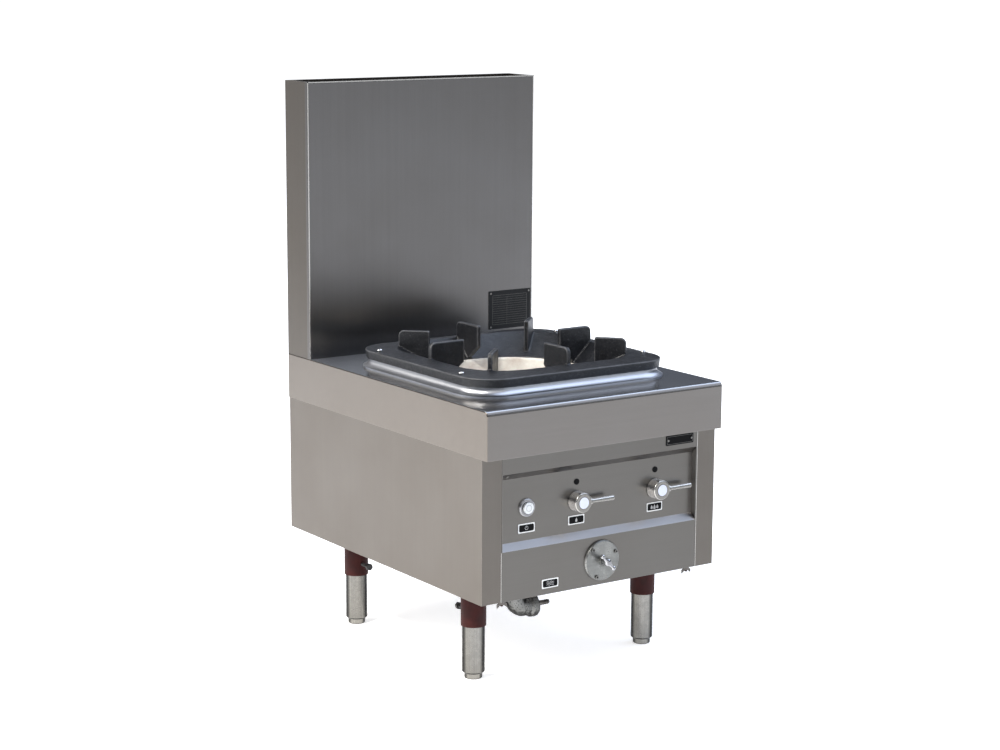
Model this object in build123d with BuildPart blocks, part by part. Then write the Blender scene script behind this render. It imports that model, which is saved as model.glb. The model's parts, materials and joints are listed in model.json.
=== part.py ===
from build123d import *
import math
import os

# A free-standing wok range: one burner in a square cast-iron top, on four pipe legs, with a flue box behind.
# Millimetres.  +Z is up, the front looks along -Y, and the origin lies on the floor under the centre.

# ---------------------------------------------------------------- driving dimensions
range_width = 600.0
range_depth = 800.0
worktop_height = 600.0
apron_height = 100.0
apron_overhang = 20.0
cabinet_height = 400.0
splash_height = 610.0
splash_depth = 100.0
sheet = 1.5
thin_sheet = 1.2

# ---------------------------------------------------------------- fits and gaps
seat_gap = 0.3
close_fit = 0.02
running_fit = 0.05
panel_seam = 0.6
tuck = 0.2

# ---------------------------------------------------------------- worktop and its folds
front_edge_radius = 10.0
side_edge_radius = 2.5
apron_lip = 17.0
worktop_hole = 450.0
worktop_hole_corner = 70.0

# ---------------------------------------------------------------- cast-iron top
burner_setback = 350.0
top_size = 500.0
top_corner = 75.0
top_thickness = 20.0
top_lift = 20.0
top_draft = 8.0
top_edge_round = 3.0
crown_rise = 5.0
rim_size = 420.0
rim_corner = 100.0
rim_land = 4.0
hole_radius = 160.0
skirt_wall = 12.0
skirt_size = 392.0
skirt_corner = 100.0
fin_count = 8
fin_thickness = 10.0
fin_height = 40.0
fin_round = 12.0
fin_bury = 6.0
square_fin_inner = 125.0
square_fin_outer = 210.0
corner_fin_inner = 181.0
corner_fin_outer = 249.0
fin_hook_rise = 32.0
top_screw_x = 235.0
top_screw_y = 160.0
top_screw_radius = 6.0
top_screw_height = 3.0
top_screw_dome = 2.4

# ---------------------------------------------------------------- drip ring under the cast-iron top
ring_inner = 410.0
ring_outer = 486.0
ring_corner = 70.0
ring_flare = 13.0
ring_lip = 4.0

# ---------------------------------------------------------------- combustion chamber and burner
chamber_depth = 205.0
chamber_sheet = 2.0
refractory_wall = 35.0
flange_size = 474.0
port_width = 150.0
port_height = 80.0
port_drop = 125.0
burner_radius = 55.0
burner_height = 50.0
burner_base_radius = 62.0
burner_base = 6.0
burner_wall = 6.0
jet_count = 12
jet_radius = 4.0
jet_circle = 38.0
centre_jet_radius = 12.0

# ---------------------------------------------------------------- recessed front panel
stile_width = 50.0
stile_return = 24.0
recess_depth = 13.0
recess_drop = 37.5
recess_height = 159.0
recess_bevel = 13.5
panel_overlap = 30.0
panel_flange = 30.0

# ---------------------------------------------------------------- controls
# An inset runs inwards from the range's side, and pilot_x from the centre line.
# A rise or a drop is a height above or below the piece it names.
pilot_x = -56.0
main_inset = 152.0
knob_rise = 79.5
knob_radius = 21.0
knob_length = 26.0
knob_round = 3.0
knob_boss_radius = 7.0
knob_boss_reach = 24.0
cap_radius = 12.0
cap_depth = 3.0
cap_proud = 1.0
lever_reach = 82.0
lever_root_radius = 4.2
lever_tip_radius = 5.5
lever_tip_round = 3.0
lever_stem_radius = 4.0
lever_stem_depth = 9.0
lever_setback = 13.5
spindle_radius = 4.0
spindle_length = 45.0
button_inset = 119.0
button_rise = 82.0
button_radius = 12.0
button_proud = 4.0
button_round = 1.3
button_length = 20.0
button_travel = 3.0
bezel_radius = 19.0
bezel_thickness = 5.0
switch_radius = 14.0
switch_depth = 42.0
plug_rise = 40.0
plug_radius = 6.3
plug_stem = 5.0
plug_proud = 1.2
label_width = 41.0
label_height = 19.0
label_thickness = 0.8
label_corner = 1.6
label_drop = 40.0
inlet_label_inset = 170.0
inlet_label_rise = 22.5
name_plate_inset = 97.5
name_plate_drop = 16.3
name_plate_size = (73.0, 21.0)
data_plate_inset = 64.0
data_plate_rise = 69.0
data_plate_size = (118.0, 90.0)
plate_thickness = 1.0
plate_corner = 2.0
rivet_radius = 2.2
rivet_proud = 1.2
rivet_inset = 5.5
bevel_screw_inset = 67.0
bevel_screw_radius = 3.0

# ---------------------------------------------------------------- air valve on the lower front
air_valve_rise = 52.0
flange_radius = 42.5
flange_thickness = 6.0
flange_round = 2.0
flange_screw_circle = 36.5
flange_screw_angles = (25, 135, 245)
flange_screw_radius = 4.0
flange_screw_proud = 3.0
flange_screw_shank = 2.0
air_body_radius = 24.5
air_body_wall = 3.0
air_body_length = 90.0
gland_radius = 9.0
gland_length = 5.0
air_spindle_radius = 5.0
bar_standoff = 18.0
bar_radius = 4.5
bar_length = 50.0
bar_tilt = -45.0
hub_radius = 8.0
hub_length = 11.0
shutter_wall = 2.5
shutter_hub_radius = 8.0
shutter_length = 52.0
shutter_start = 24.0
shutter_arc = 110.0
air_pipe_wall = 2.0
air_pipe_bend = 45.0
air_pipe_socket = 8.0

# ---------------------------------------------------------------- blower
blower_inset = 150.0
volute_radius = 58.0
volute_depth = 52.0
volute_front = 45.0
outlet_height = 36.0
impeller_radius = 42.0
impeller_depth = 38.0
blade_count = 12
blade_length = 13.0
blade_thickness = 1.5
impeller_disc = 2.0
impeller_hub_radius = 9.0
volute_inlet_radius = 30.0
motor_shaft_radius = 4.0
motor_radius = 34.0
motor_length = 80.0
motor_round = 8.5
motor_shaft_reach = 40.0
blower_foot_width = 60.0
blower_foot_depth = 20.0

# ---------------------------------------------------------------- gas train
manifold_setback = 100.0
manifold_radius = 13.5
manifold_wall = 3.0
manifold_overrun = 25.0
inlet_inset = 137.0
inlet_drop = 44.0
elbow_radius = 21.0
elbow_bend = 24.0
elbow_bead_radius = 25.0
elbow_bead_length = 16.0
elbow_bead_round = 2.5
elbow_reach = 50.0
elbow_rise = 22.0
nipple_plug_radius = 17.0
nipple_plug_length = 15.0
nipple_radius = 5.5
nipple_reach = 37.0
nipple_bore = 3.5
valve_size = 28.0
valve_chamfer = 2.8
valve_front = 45.0
valve_bonnet_radius = 10.0
valve_stub_radius = 8.0
gas_pipe_radius = 8.0
gas_pipe_bend = 15.0
gas_pipe_side = 60.0
gas_pipe_drop = 60.0
pilot_pipe_radius = 4.0
pilot_pipe_bend = 12.0
pilot_pipe_drop = 45.0
pilot_offset = 65.0
pilot_burner_radius = 8.0
pilot_burner_height = 43.0
pilot_burner_chamfer = 2.0

# ---------------------------------------------------------------- base frame and legs
angle_size = 25.0
angle_wall = 3.0
cross_member_width = 80.0
leg_inset = 78.0
front_leg_setback = 163.0
rear_leg_setback = 163.0
socket_radius = 26.8
socket_drop = 86.0
leg_radius = 24.15
leg_wall = 3.35
leg_bevel = 3.0
leg_top_gap = 6.0
leg_end_depth = 30.0
foot_radius = 19.0
foot_height = 12.0
foot_stem_radius = 14.0
foot_stem_length = 60.0
foot_chamfer = 1.5
bolt_drop = 59.0
bolt_radius = 4.0
bolt_head_radius = 8.0
bolt_head_length = 8.0
bolt_reach = 60.0
stud_radius = 3.0
stud_reach = 14.0
stud_inset = 61.0
stud_setback = 35.0
wing_hub_radius = 5.5
wing_hub_length = 9.0
wing_span = 24.0
wing_drop = 7.5
wing_thickness = 2.5
wing_height = 8.5

# ---------------------------------------------------------------- flue
duct_wall = 1.5
duct_depth = 83.0
duct_rear_gap = 5.0
duct_start = 146.0
splash_return = 10.0
splash_hem = 12.0
splash_bend = 3.5

# ---------------------------------------------------------------- places worked out from the values above
handle_reach = bar_standoff + max(bar_radius, hub_length / 2) + flange_thickness - apron_overhang
front_y = -(range_depth - handle_reach) / 2
back_y = front_y + range_depth
body_y = front_y + apron_overhang
recess_y = body_y + recess_depth
burner_y = front_y + burner_setback
half_width = range_width / 2
body_half = half_width - sheet - tuck
main_x = half_width - main_inset
button_x = button_inset - half_width
inlet_label_x = inlet_label_inset - half_width
name_plate_x = half_width - name_plate_inset
data_plate_x = half_width - data_plate_inset
bevel_screw_x = bevel_screw_inset - half_width
blower_x = half_width - blower_inset
inlet_x = inlet_inset - half_width
stud_x = half_width - stud_inset
body_clearance = worktop_height - cabinet_height
apron_bottom = worktop_height - apron_height
body_top = worktop_height - sheet - side_edge_radius
panel_top = apron_bottom + panel_overlap
recess_top = apron_bottom - recess_drop
recess_bottom = recess_top - recess_height
knob_height = recess_bottom + knob_rise
button_height = recess_bottom + button_rise
plug_height = knob_height + plug_rise
label_row = knob_height - label_drop
name_plate_height = apron_bottom - name_plate_drop
data_plate_height = worktop_height + data_plate_rise
air_valve_height = body_clearance + air_valve_rise
inlet_label_height = body_clearance + inlet_label_rise
elbow_top = body_clearance + elbow_rise
inlet_height = body_clearance - inlet_drop
bolt_height = body_clearance - bolt_drop
chamber_floor_height = worktop_height - chamber_depth
port_low = worktop_height - port_drop
gas_pipe_height = chamber_floor_height - gas_pipe_drop
pilot_pipe_height = chamber_floor_height - pilot_pipe_drop
top_z = worktop_height + top_lift + top_thickness
rim_z = top_z + crown_rise
fin_top = top_z + fin_height
splash_y = back_y - splash_depth
splash_top = worktop_height + splash_height
air_axis_y = body_y - flange_thickness
pipe_radius = air_body_radius - air_body_wall - close_fit
frame_base = body_clearance + sheet
floor_z = frame_base + angle_wall
shell_inner = hole_radius + refractory_wall
shell_outer = shell_inner + chamber_sheet
chamber_floor_top = chamber_floor_height + chamber_sheet
blower_z = air_valve_height - outlet_height / 2 + volute_radius
manifold_y = front_y + manifold_setback
handle_y = air_axis_y - bar_standoff
valve_middle = (valve_front + manifold_setback - manifold_radius) / 2
knob_back = recess_y - seat_gap - panel_seam
knob_front = knob_back - knob_length
lever_y = front_y + lever_setback
spindle_front_y = knob_front + 2 * cap_depth
spindle_end = spindle_front_y + spindle_length
button_y = recess_y - bezel_thickness - button_proud

pieces = []


def keep(builder, name):
    """Give a finished piece its name and put it on the list to be written."""
    builder.part.label = name
    pieces.append(builder.part)
    return builder.part


def facing_front(y):
    """A plane seen from the front: local x is X, local y is Z, and its normal points to -Y."""
    return Plane.XZ.offset(-y)


def facing_right(x):
    """A plane seen from the right: local x is Y, local y is Z, and its normal points to +X."""
    return Plane.YZ.offset(x)


def level(z):
    """A horizontal plane at a height above the floor."""
    return Plane.XY.offset(z)


# ================================================================ cabinet
def side_panel(side):
    """Side wall folded from one sheet: front stile with its return, the side itself and a rear flange."""
    inner = half_width - stile_width + panel_seam
    outline = [
        (side * inner, body_y + stile_return),
        (side * inner, body_y),
        (side * body_half, body_y),
        (side * body_half, back_y - sheet - tuck - thin_sheet),
        (side * (body_half - apron_lip), back_y - sheet - tuck - thin_sheet),
    ]
    with BuildPart() as panel:
        with BuildSketch(level(body_clearance)):
            with BuildLine():
                Polyline(*outline)
                offset(amount=sheet, side=Side.RIGHT if side < 0 else Side.LEFT)
            make_face()
        extrude(amount=body_top - body_clearance)
        with BuildSketch(level(body_clearance)):
            with Locations((side * inner, body_y + sheet + stile_return / 2)):
                Rectangle(4 * sheet, stile_return)
        extrude(amount=sheet + angle_size + seat_gap, mode=Mode.SUBTRACT)
    return panel


keep(side_panel(-1), "left_side_panel")
keep(side_panel(1), "right_side_panel")


with BuildPart() as rear_panel:
    with BuildSketch(level(body_clearance)):
        with Locations((0, back_y - sheet - tuck - thin_sheet / 2)):
            Rectangle(2 * body_half - 2 * sheet, thin_sheet)
    extrude(amount=body_top - body_clearance)
keep(rear_panel, "rear_panel")

with BuildPart() as base_frame:
    frame_half = body_half - sheet - seat_gap
    frame_front = body_y + sheet + seat_gap
    frame_back = back_y - sheet - tuck - thin_sheet - sheet - seat_gap
    frame_depth = frame_back - frame_front
    frame_middle = (frame_front + frame_back) / 2
    leg_rows = (front_y + front_leg_setback, back_y - rear_leg_setback)
    leg_columns = (-(half_width - leg_inset), half_width - leg_inset)
    with BuildSketch(level(frame_base)):
        with Locations((0, frame_middle)):
            Rectangle(2 * frame_half, frame_depth)
            inside = offset(amount=-angle_size, mode=Mode.PRIVATE)
        add(inside, mode=Mode.SUBTRACT)
    extrude(amount=angle_wall)
    with BuildSketch(level(frame_base)):
        with Locations((0, frame_middle)):
            Rectangle(2 * frame_half, frame_depth)
            Rectangle(2 * (frame_half - angle_wall), frame_depth - 2 * angle_wall, mode=Mode.SUBTRACT)
    extrude(amount=angle_size)
    with BuildSketch(level(frame_base)):
        for row in leg_rows:
            with Locations((0, row)):
                Rectangle(2 * (frame_half - angle_wall), cross_member_width)
    extrude(amount=angle_wall)
    with BuildSketch(level(frame_base)):
        with Locations((-stud_x, front_y + stud_setback), (stud_x, front_y + stud_setback)):
            Circle(stud_radius)
    extrude(amount=-stud_reach)
keep(base_frame, "base_frame")

with BuildPart() as floor_pan:
    with BuildSketch(level(floor_z)):
        with Locations((0, frame_middle)):
            Rectangle(2 * (frame_half - angle_wall - seat_gap), frame_depth - 2 * (angle_wall + seat_gap))
        with Locations((inlet_x, manifold_y)):
            Circle(elbow_radius + panel_seam, mode=Mode.SUBTRACT)
    extrude(amount=thin_sheet)
floor_top = floor_z + thin_sheet
keep(floor_pan, "floor_pan")

with BuildPart() as front_panel:
    panel_width = 2 * (half_width - stile_width) - panel_seam
    recess_outline = [
        (body_y, recess_bottom),
        (recess_y, recess_bottom + recess_bevel),
        (recess_y, recess_top - recess_bevel),
        (body_y, recess_top),
    ]
    panel_outline = [
        (body_y + panel_flange, body_clearance),
        (body_y, body_clearance),
        *recess_outline,
        (body_y, panel_top),
    ]
    with BuildSketch(facing_right(-panel_width / 2)):
        with BuildLine():
            Polyline(*panel_outline)
            offset(amount=sheet, side=Side.RIGHT)
        make_face()
    extrude(amount=panel_width)
    for end in (-1, 1):
        with BuildSketch(facing_right(end * panel_width / 2)):
            with BuildLine():
                Polyline(*recess_outline, close=True)
            make_face()
        extrude(amount=-end * sheet)
    with BuildSketch(facing_front(recess_y)):
        with Locations((pilot_x, knob_height), (main_x, knob_height)):
            Circle(spindle_radius + panel_seam)
        with Locations((button_x, button_height)):
            Circle(switch_radius + close_fit)
        with Locations((pilot_x, plug_height), (main_x, plug_height)):
            Circle(plug_stem + close_fit)
    extrude(amount=-2 * sheet, mode=Mode.SUBTRACT)
    with BuildSketch(facing_front(body_y)):
        with Locations((0, air_valve_height)):
            Circle(air_body_radius + close_fit)
    extrude(amount=-2 * sheet, mode=Mode.SUBTRACT)
    with BuildSketch(level(body_clearance)):
        with Locations((-stud_x, front_y + stud_setback), (stud_x, front_y + stud_setback)):
            Circle(stud_radius + panel_seam)
    extrude(amount=2 * sheet, mode=Mode.SUBTRACT)
keep(front_panel, "front_panel")

with BuildPart() as worktop:
    with BuildSketch(level(apron_bottom)):
        with Locations((0, front_y + range_depth / 2)):
            Rectangle(range_width, range_depth)
    extrude(amount=apron_height)
    top_edges = worktop.edges().filter_by(Axis.X).group_by(Axis.Z)[-1]
    fillet(top_edges.sort_by(Axis.Y)[0], radius=front_edge_radius)
    side_faces = worktop.faces().filter_by(Axis.X)
    side_edges = side_faces.edges() - side_faces.edges().group_by(Axis.Z)[0]
    fillet(side_edges, radius=side_edge_radius)
    offset(amount=-sheet, openings=worktop.faces().sort_by(Axis.Z)[0])
    with BuildSketch(level(apron_bottom)):
        with Locations((0, front_y + sheet + apron_lip / 2)):
            Rectangle(range_width - 2 * side_edge_radius, apron_lip)
    extrude(amount=sheet)
    with BuildSketch(level(worktop_height)):
        with Locations((0, burner_y)):
            RectangleRounded(worktop_hole, worktop_hole, worktop_hole_corner)
        with Locations((0, back_y - duct_rear_gap - duct_depth / 2)):
            Rectangle(port_width, duct_depth - 2 * duct_wall)
    extrude(amount=-2 * sheet, mode=Mode.SUBTRACT)
keep(worktop, "worktop")

# ================================================================ cast-iron top
def fin_plane(angle):
    """A vertical plane through the burner's centre line: local x runs outwards, local y is height."""
    outwards = (math.cos(math.radians(angle)), math.sin(math.radians(angle)), 0)
    sideways = (outwards[1], -outwards[0], 0)
    return Plane(origin=(0, burner_y, 0), x_dir=outwards, z_dir=sideways)


def fin_outline(inner, outer, rim_radius):
    """Corner points of a fin; its foot follows the funnel's slope, sunk into the metal by fin_bury."""
    slope = (rim_z - worktop_height) / (rim_radius - hole_radius)
    foot_start = max(inner, hole_radius)
    foot_low = worktop_height + (foot_start - hole_radius) * slope
    hook = foot_low + fin_hook_rise if inner < hole_radius else foot_low
    return [
        (inner, fin_top),
        (inner, hook),
        (foot_start + fin_bury, foot_low),
        (outer + fin_bury, top_z - fin_bury),
        (outer, rim_z),
        (outer, fin_top),
    ]


with BuildPart() as cast_iron_top:
    with BuildSketch(level(top_z)):
        with Locations((0, burner_y)):
            RectangleRounded(top_size, top_size, top_corner)
    extrude(amount=-top_thickness, taper=top_draft)
    with BuildSketch(level(top_z)):
        with Locations((0, burner_y)):
            crown_size = top_size - 2 * top_edge_round
            RectangleRounded(crown_size, crown_size, top_corner - top_edge_round)
    with BuildSketch(level(rim_z)):
        with Locations((0, burner_y)):
            RectangleRounded(rim_size, rim_size, rim_corner)
    loft()
    with BuildSketch(level(top_z - top_thickness)):
        with Locations((0, burner_y)):
            RectangleRounded(skirt_size, skirt_size, skirt_corner)
    with BuildSketch(level(worktop_height)):
        with Locations((0, burner_y)):
            skirt_end = hole_radius + skirt_wall
            RectangleRounded(2 * skirt_end, 2 * skirt_end, skirt_end - close_fit)
    loft()
    with BuildSketch(level(rim_z)):
        with Locations((0, burner_y)):
            mouth = rim_size - 2 * rim_land
            RectangleRounded(mouth, mouth, rim_corner)
    with BuildSketch(level(worktop_height)):
        with Locations((0, burner_y)):
            RectangleRounded(2 * hole_radius, 2 * hole_radius, hole_radius - close_fit)
    loft(mode=Mode.SUBTRACT)
    mouth_half = rim_size / 2 - rim_land
    corner_rim = (mouth_half - rim_corner) * math.sqrt(2) + rim_corner
    for index in range(fin_count):
        angle = index * 360 / fin_count
        is_square = index % 2 == 0
        inner = square_fin_inner if is_square else corner_fin_inner
        outer = square_fin_outer if is_square else corner_fin_outer
        with BuildSketch(fin_plane(angle)) as fin:
            with BuildLine():
                Polyline(*fin_outline(inner, outer, mouth_half if is_square else corner_rim), close=True)
            make_face()
            fillet(fin.vertices().group_by(Axis.Y)[-1].sort_by(Axis.X)[-1], radius=fin_round)
        extrude(amount=fin_thickness / 2, both=True)
keep(cast_iron_top, "cast_iron_top")

with BuildPart() as top_screws:
    screw_spots = [
        (side * top_screw_x, burner_y + row * top_screw_y)
        for side in (-1, 1)
        for row in (-1, 1)
    ]
    with BuildSketch(level(rim_z - crown_rise / 2)):
        with Locations(*screw_spots):
            Circle(top_screw_radius)
    extrude(amount=top_screw_height)
    fillet(top_screws.edges().group_by(Axis.Z)[-1], radius=top_screw_dome)
keep(top_screws, "top_screws")

# ================================================================ drip ring
with BuildSketch(level(worktop_height + top_lift)) as ring_plan:
    with Locations((0, burner_y)):
        RectangleRounded(ring_outer, ring_outer, ring_corner)

with BuildPart() as drip_ring:
    ring_z = worktop_height + top_lift
    ring_edge = burner_y - ring_outer / 2
    with BuildSketch(facing_right(0)):
        with BuildLine():
            flange = Line((ring_edge + (ring_outer - ring_inner) / 2, ring_z), (ring_edge, ring_z))
            low = (ring_edge - ring_flare, worktop_height + ring_lip)
            flare = RadiusArc(flange @ 1, low, radius=ring_flare + ring_lip)
            Line(flare @ 1, (ring_edge - ring_flare, worktop_height))
            offset(amount=thin_sheet, side=Side.LEFT)
        make_face()
    sweep(path=ring_plan.sketch.wire())
keep(drip_ring, "drip_ring")

# ================================================================ combustion chamber and burner
def chamber_port(low, high, width):
    """The block cut out of the chamber's rear wall for the flue gas."""
    with BuildPart() as port:
        with BuildSketch(facing_front(burner_y)):
            with Locations((0, (low + high) / 2)):
                Rectangle(width, high - low)
        extrude(amount=-2 * shell_outer)
    return port.part


flue_port = chamber_port(port_low, port_low + port_height, port_width)

with BuildPart() as refractory_ring:
    with BuildSketch(level(chamber_floor_top)):
        with Locations((0, burner_y)):
            Circle(shell_inner - seat_gap)
            Circle(hole_radius, mode=Mode.SUBTRACT)
    extrude(amount=worktop_height - chamber_floor_top)
    add(flue_port, mode=Mode.SUBTRACT)
keep(refractory_ring, "refractory_ring")

with BuildPart() as chamber_shell:
    with BuildSketch(level(chamber_floor_height)):
        with Locations((0, burner_y)):
            Circle(shell_outer)
    extrude(amount=worktop_height - sheet - chamber_floor_height)
    with BuildSketch(level(worktop_height - sheet)):
        with Locations((0, burner_y)):
            RectangleRounded(flange_size, flange_size, worktop_hole_corner)
    extrude(amount=-sheet)
    with BuildSketch(level(chamber_floor_top)):
        with Locations((0, burner_y)):
            Circle(shell_inner)
    extrude(amount=worktop_height - chamber_floor_top, mode=Mode.SUBTRACT)
    with BuildSketch(level(chamber_floor_height)):
        with Locations((0, burner_y)):
            Circle(pipe_radius + seat_gap)
        with Locations((pilot_x, burner_y - pilot_offset)):
            Circle(pilot_pipe_radius + seat_gap)
    extrude(amount=chamber_sheet, mode=Mode.SUBTRACT)
    add(flue_port, mode=Mode.SUBTRACT)
keep(chamber_shell, "chamber_shell")

with BuildPart() as burner_head:
    burner_low = chamber_floor_top
    burner_top = burner_low + burner_height
    with BuildSketch(level(burner_low)):
        with Locations((0, burner_y)):
            Circle(burner_base_radius)
    extrude(amount=burner_base)
    with BuildSketch(level(burner_low)):
        with Locations((0, burner_y)):
            Circle(burner_radius)
    extrude(amount=burner_height)
    fillet(burner_head.edges().group_by(Axis.Z)[-1], radius=burner_wall)
    with BuildSketch(level(burner_low + burner_base)):
        with Locations((0, burner_y)):
            Circle(burner_radius - burner_wall)
    extrude(amount=burner_height - burner_base - burner_wall, mode=Mode.SUBTRACT)
    with BuildSketch(level(burner_low)):
        with Locations((0, burner_y)):
            Circle(pipe_radius + close_fit)
    extrude(amount=burner_base, mode=Mode.SUBTRACT)
    with BuildSketch(level(burner_top)):
        with Locations((0, burner_y)):
            Circle(centre_jet_radius)
            with PolarLocations(jet_circle, jet_count):
                Circle(jet_radius)
    extrude(amount=-2 * burner_wall, mode=Mode.SUBTRACT)
keep(burner_head, "burner_head")

# ================================================================ air valve, pipe and blower
with BuildPart() as air_valve_body:
    with BuildSketch(facing_front(body_y)):
        with Locations((0, air_valve_height)):
            Circle(flange_radius)
    extrude(amount=flange_thickness)
    fillet(air_valve_body.edges().group_by(Axis.Y)[0], radius=flange_round)
    with BuildSketch(facing_front(air_axis_y)):
        with Locations((0, air_valve_height)):
            Circle(gland_radius)
    extrude(amount=gland_length)
    with BuildSketch(facing_front(body_y)):
        with Locations((0, air_valve_height)):
            Circle(air_body_radius)
    extrude(amount=-air_body_length)
    with BuildSketch(facing_front(body_y + air_body_wall)):
        with Locations((0, air_valve_height)):
            Circle(air_body_radius - air_body_wall)
    extrude(amount=-air_body_length, mode=Mode.SUBTRACT)
    with BuildSketch(facing_front(air_axis_y - gland_length)):
        with Locations((0, air_valve_height)):
            Circle(air_spindle_radius + running_fit)
    extrude(amount=-(gland_length + flange_thickness + 2 * air_body_wall), mode=Mode.SUBTRACT)
    with BuildSketch(facing_right(0)):
        with Locations((front_y + volute_front + volute_depth / 2, air_valve_height)):
            Rectangle(volute_depth - 2 * sheet, outlet_height - 2 * sheet)
    extrude(amount=2 * air_body_radius, mode=Mode.SUBTRACT)
    with BuildSketch(facing_front(air_axis_y)):
        with Locations((0, air_valve_height)):
            for angle in flange_screw_angles:
                with PolarLocations(flange_screw_circle, 1, start_angle=angle):
                    Circle(flange_screw_shank)
    extrude(amount=-flange_thickness, mode=Mode.SUBTRACT)
keep(air_valve_body, "air_valve_body")

bevel_slope = math.atan2(recess_depth, recess_bevel)
bevel_middle = (bevel_screw_x, body_y + recess_depth / 2, recess_top - recess_bevel / 2)
bevel_normal = (0, -math.cos(bevel_slope), -math.sin(bevel_slope))
bevel_plane = Plane(origin=bevel_middle, x_dir=(1, 0, 0), z_dir=bevel_normal)
with BuildPart() as panel_screws:
    with BuildSketch(facing_front(air_axis_y)):
        with Locations((0, air_valve_height)):
            for angle in flange_screw_angles:
                with PolarLocations(flange_screw_circle, 1, start_angle=angle):
                    Circle(flange_screw_radius)
    extrude(amount=flange_screw_proud)
    fillet(panel_screws.edges().group_by(Axis.Y)[0], radius=flange_screw_proud / 2)
    with BuildSketch(facing_front(air_axis_y)):
        with Locations((0, air_valve_height)):
            for angle in flange_screw_angles:
                with PolarLocations(flange_screw_circle, 1, start_angle=angle):
                    Circle(flange_screw_shank - close_fit)
    extrude(amount=-flange_thickness)
    with BuildSketch(bevel_plane):
        Circle(bevel_screw_radius)
    extrude(amount=rivet_proud)
keep(panel_screws, "panel_screws")

with BuildPart() as air_handle:
    with BuildSketch(facing_front(handle_y + hub_length / 2)):
        with Locations((0, air_valve_height)):
            Circle(hub_radius)
    extrude(amount=hub_length)
    bar_plane = Plane(
        origin=(0, handle_y, air_valve_height),
        x_dir=(0, -1, 0),
        z_dir=(math.cos(math.radians(bar_tilt)), 0, math.sin(math.radians(bar_tilt))),
    )
    with BuildSketch(bar_plane):
        Circle(bar_radius)
    extrude(amount=bar_length / 2, both=True)
    bar_ends = air_handle.faces().filter_by(GeomType.PLANE).filter_by(Axis((0, 0, 0), bar_plane.z_dir))
    fillet(bar_ends.edges(), radius=bar_radius / 2)
    with BuildSketch(facing_front(handle_y + hub_length / 2)):
        with Locations((0, air_valve_height)):
            Circle(air_spindle_radius + close_fit)
    extrude(amount=hub_length - bar_radius, mode=Mode.SUBTRACT)
keep(air_handle, "air_handle")

with BuildPart() as air_spindle:
    spindle_front = handle_y + hub_length / 2 - (hub_length - bar_radius)
    spindle_back = body_y + shutter_start + shutter_length + air_body_wall
    with BuildSketch(facing_front(spindle_front)):
        with Locations((0, air_valve_height)):
            Circle(air_spindle_radius)
    extrude(amount=-(spindle_back - spindle_front))
keep(air_spindle, "air_spindle")

with BuildPart() as air_shutter:
    shutter_radius = air_body_radius - air_body_wall - seat_gap
    shutter_half = math.radians(shutter_arc / 2)
    wedge = shutter_radius * math.tan(shutter_half)
    with BuildSketch(facing_front(body_y + shutter_start)):
        with Locations((0, air_valve_height)):
            Circle(shutter_radius)
            with BuildLine(mode=Mode.PRIVATE) as wedge_line:
                Polyline((0, 0), (-wedge, -shutter_radius), (wedge, -shutter_radius), close=True)
            sector = make_face(wedge_line.edges(), mode=Mode.PRIVATE)
            add(sector, mode=Mode.INTERSECT)
            Circle(shutter_hub_radius)
    extrude(amount=-shutter_length)
    with BuildSketch(facing_front(body_y + shutter_start + shutter_wall)):
        with Locations((0, air_valve_height)):
            Circle(shutter_radius - shutter_wall)
    extrude(amount=-(shutter_length - 2 * shutter_wall), mode=Mode.SUBTRACT)
    with BuildSketch(facing_front(body_y + shutter_start)):
        with Locations((0, air_valve_height)):
            Circle(air_spindle_radius + close_fit)
    extrude(amount=-shutter_length, mode=Mode.SUBTRACT)
keep(air_shutter, "air_shutter")


def pipe_path(*points, bend):
    """A pipe's centre line: straight runs joined by bends of one radius."""
    with BuildLine(mode=Mode.PRIVATE) as path:
        FilletPolyline(*points, radius=bend)
    return path.wires()[0]


def pipe(path, radius, bore=0.0):
    """A round pipe along a path, hollow where a bore is given."""
    start = Plane(origin=path @ 0, z_dir=path % 0)
    with BuildPart() as tube:
        with BuildSketch(start):
            Circle(radius)
            if bore > 0:
                Circle(bore, mode=Mode.SUBTRACT)
        sweep(path=path)
    return tube.part


air_pipe_start = body_y + air_body_length - air_pipe_socket
air_path = pipe_path(
    (0, air_pipe_start, air_valve_height),
    (0, burner_y, air_valve_height),
    (0, burner_y, chamber_floor_top + burner_base),
    bend=air_pipe_bend,
)
gas_path = pipe_path(
    (main_x - valve_size / 2, front_y + valve_middle, knob_height),
    (gas_pipe_side, front_y + valve_middle, knob_height),
    (gas_pipe_side, front_y + valve_middle, gas_pipe_height),
    (gas_pipe_side, burner_y, gas_pipe_height),
    (pipe_radius - air_pipe_wall / 2, burner_y, gas_pipe_height),
    bend=gas_pipe_bend,
)
pilot_path = pipe_path(
    (pilot_x, front_y + valve_middle, knob_height - valve_size / 2),
    (pilot_x, front_y + valve_middle, pilot_pipe_height),
    (pilot_x, burner_y - pilot_offset, pilot_pipe_height),
    (pilot_x, burner_y - pilot_offset, chamber_floor_top),
    bend=pilot_pipe_bend,
)

with BuildPart() as air_pipe:
    add(pipe(air_path, pipe_radius, pipe_radius - air_pipe_wall))
    with BuildSketch(facing_right(0)):
        with Locations((burner_y, gas_pipe_height)):
            Circle(gas_pipe_radius + close_fit)
    extrude(amount=2 * pipe_radius, mode=Mode.SUBTRACT)
keep(air_pipe, "air_pipe")

with BuildPart() as main_gas_pipe:
    add(pipe(gas_path, gas_pipe_radius, gas_pipe_radius - sheet))
keep(main_gas_pipe, "main_gas_pipe")

with BuildPart() as pilot_pipe:
    add(pipe(pilot_path, pilot_pipe_radius, pilot_pipe_radius - sheet))
keep(pilot_pipe, "pilot_pipe")

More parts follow.
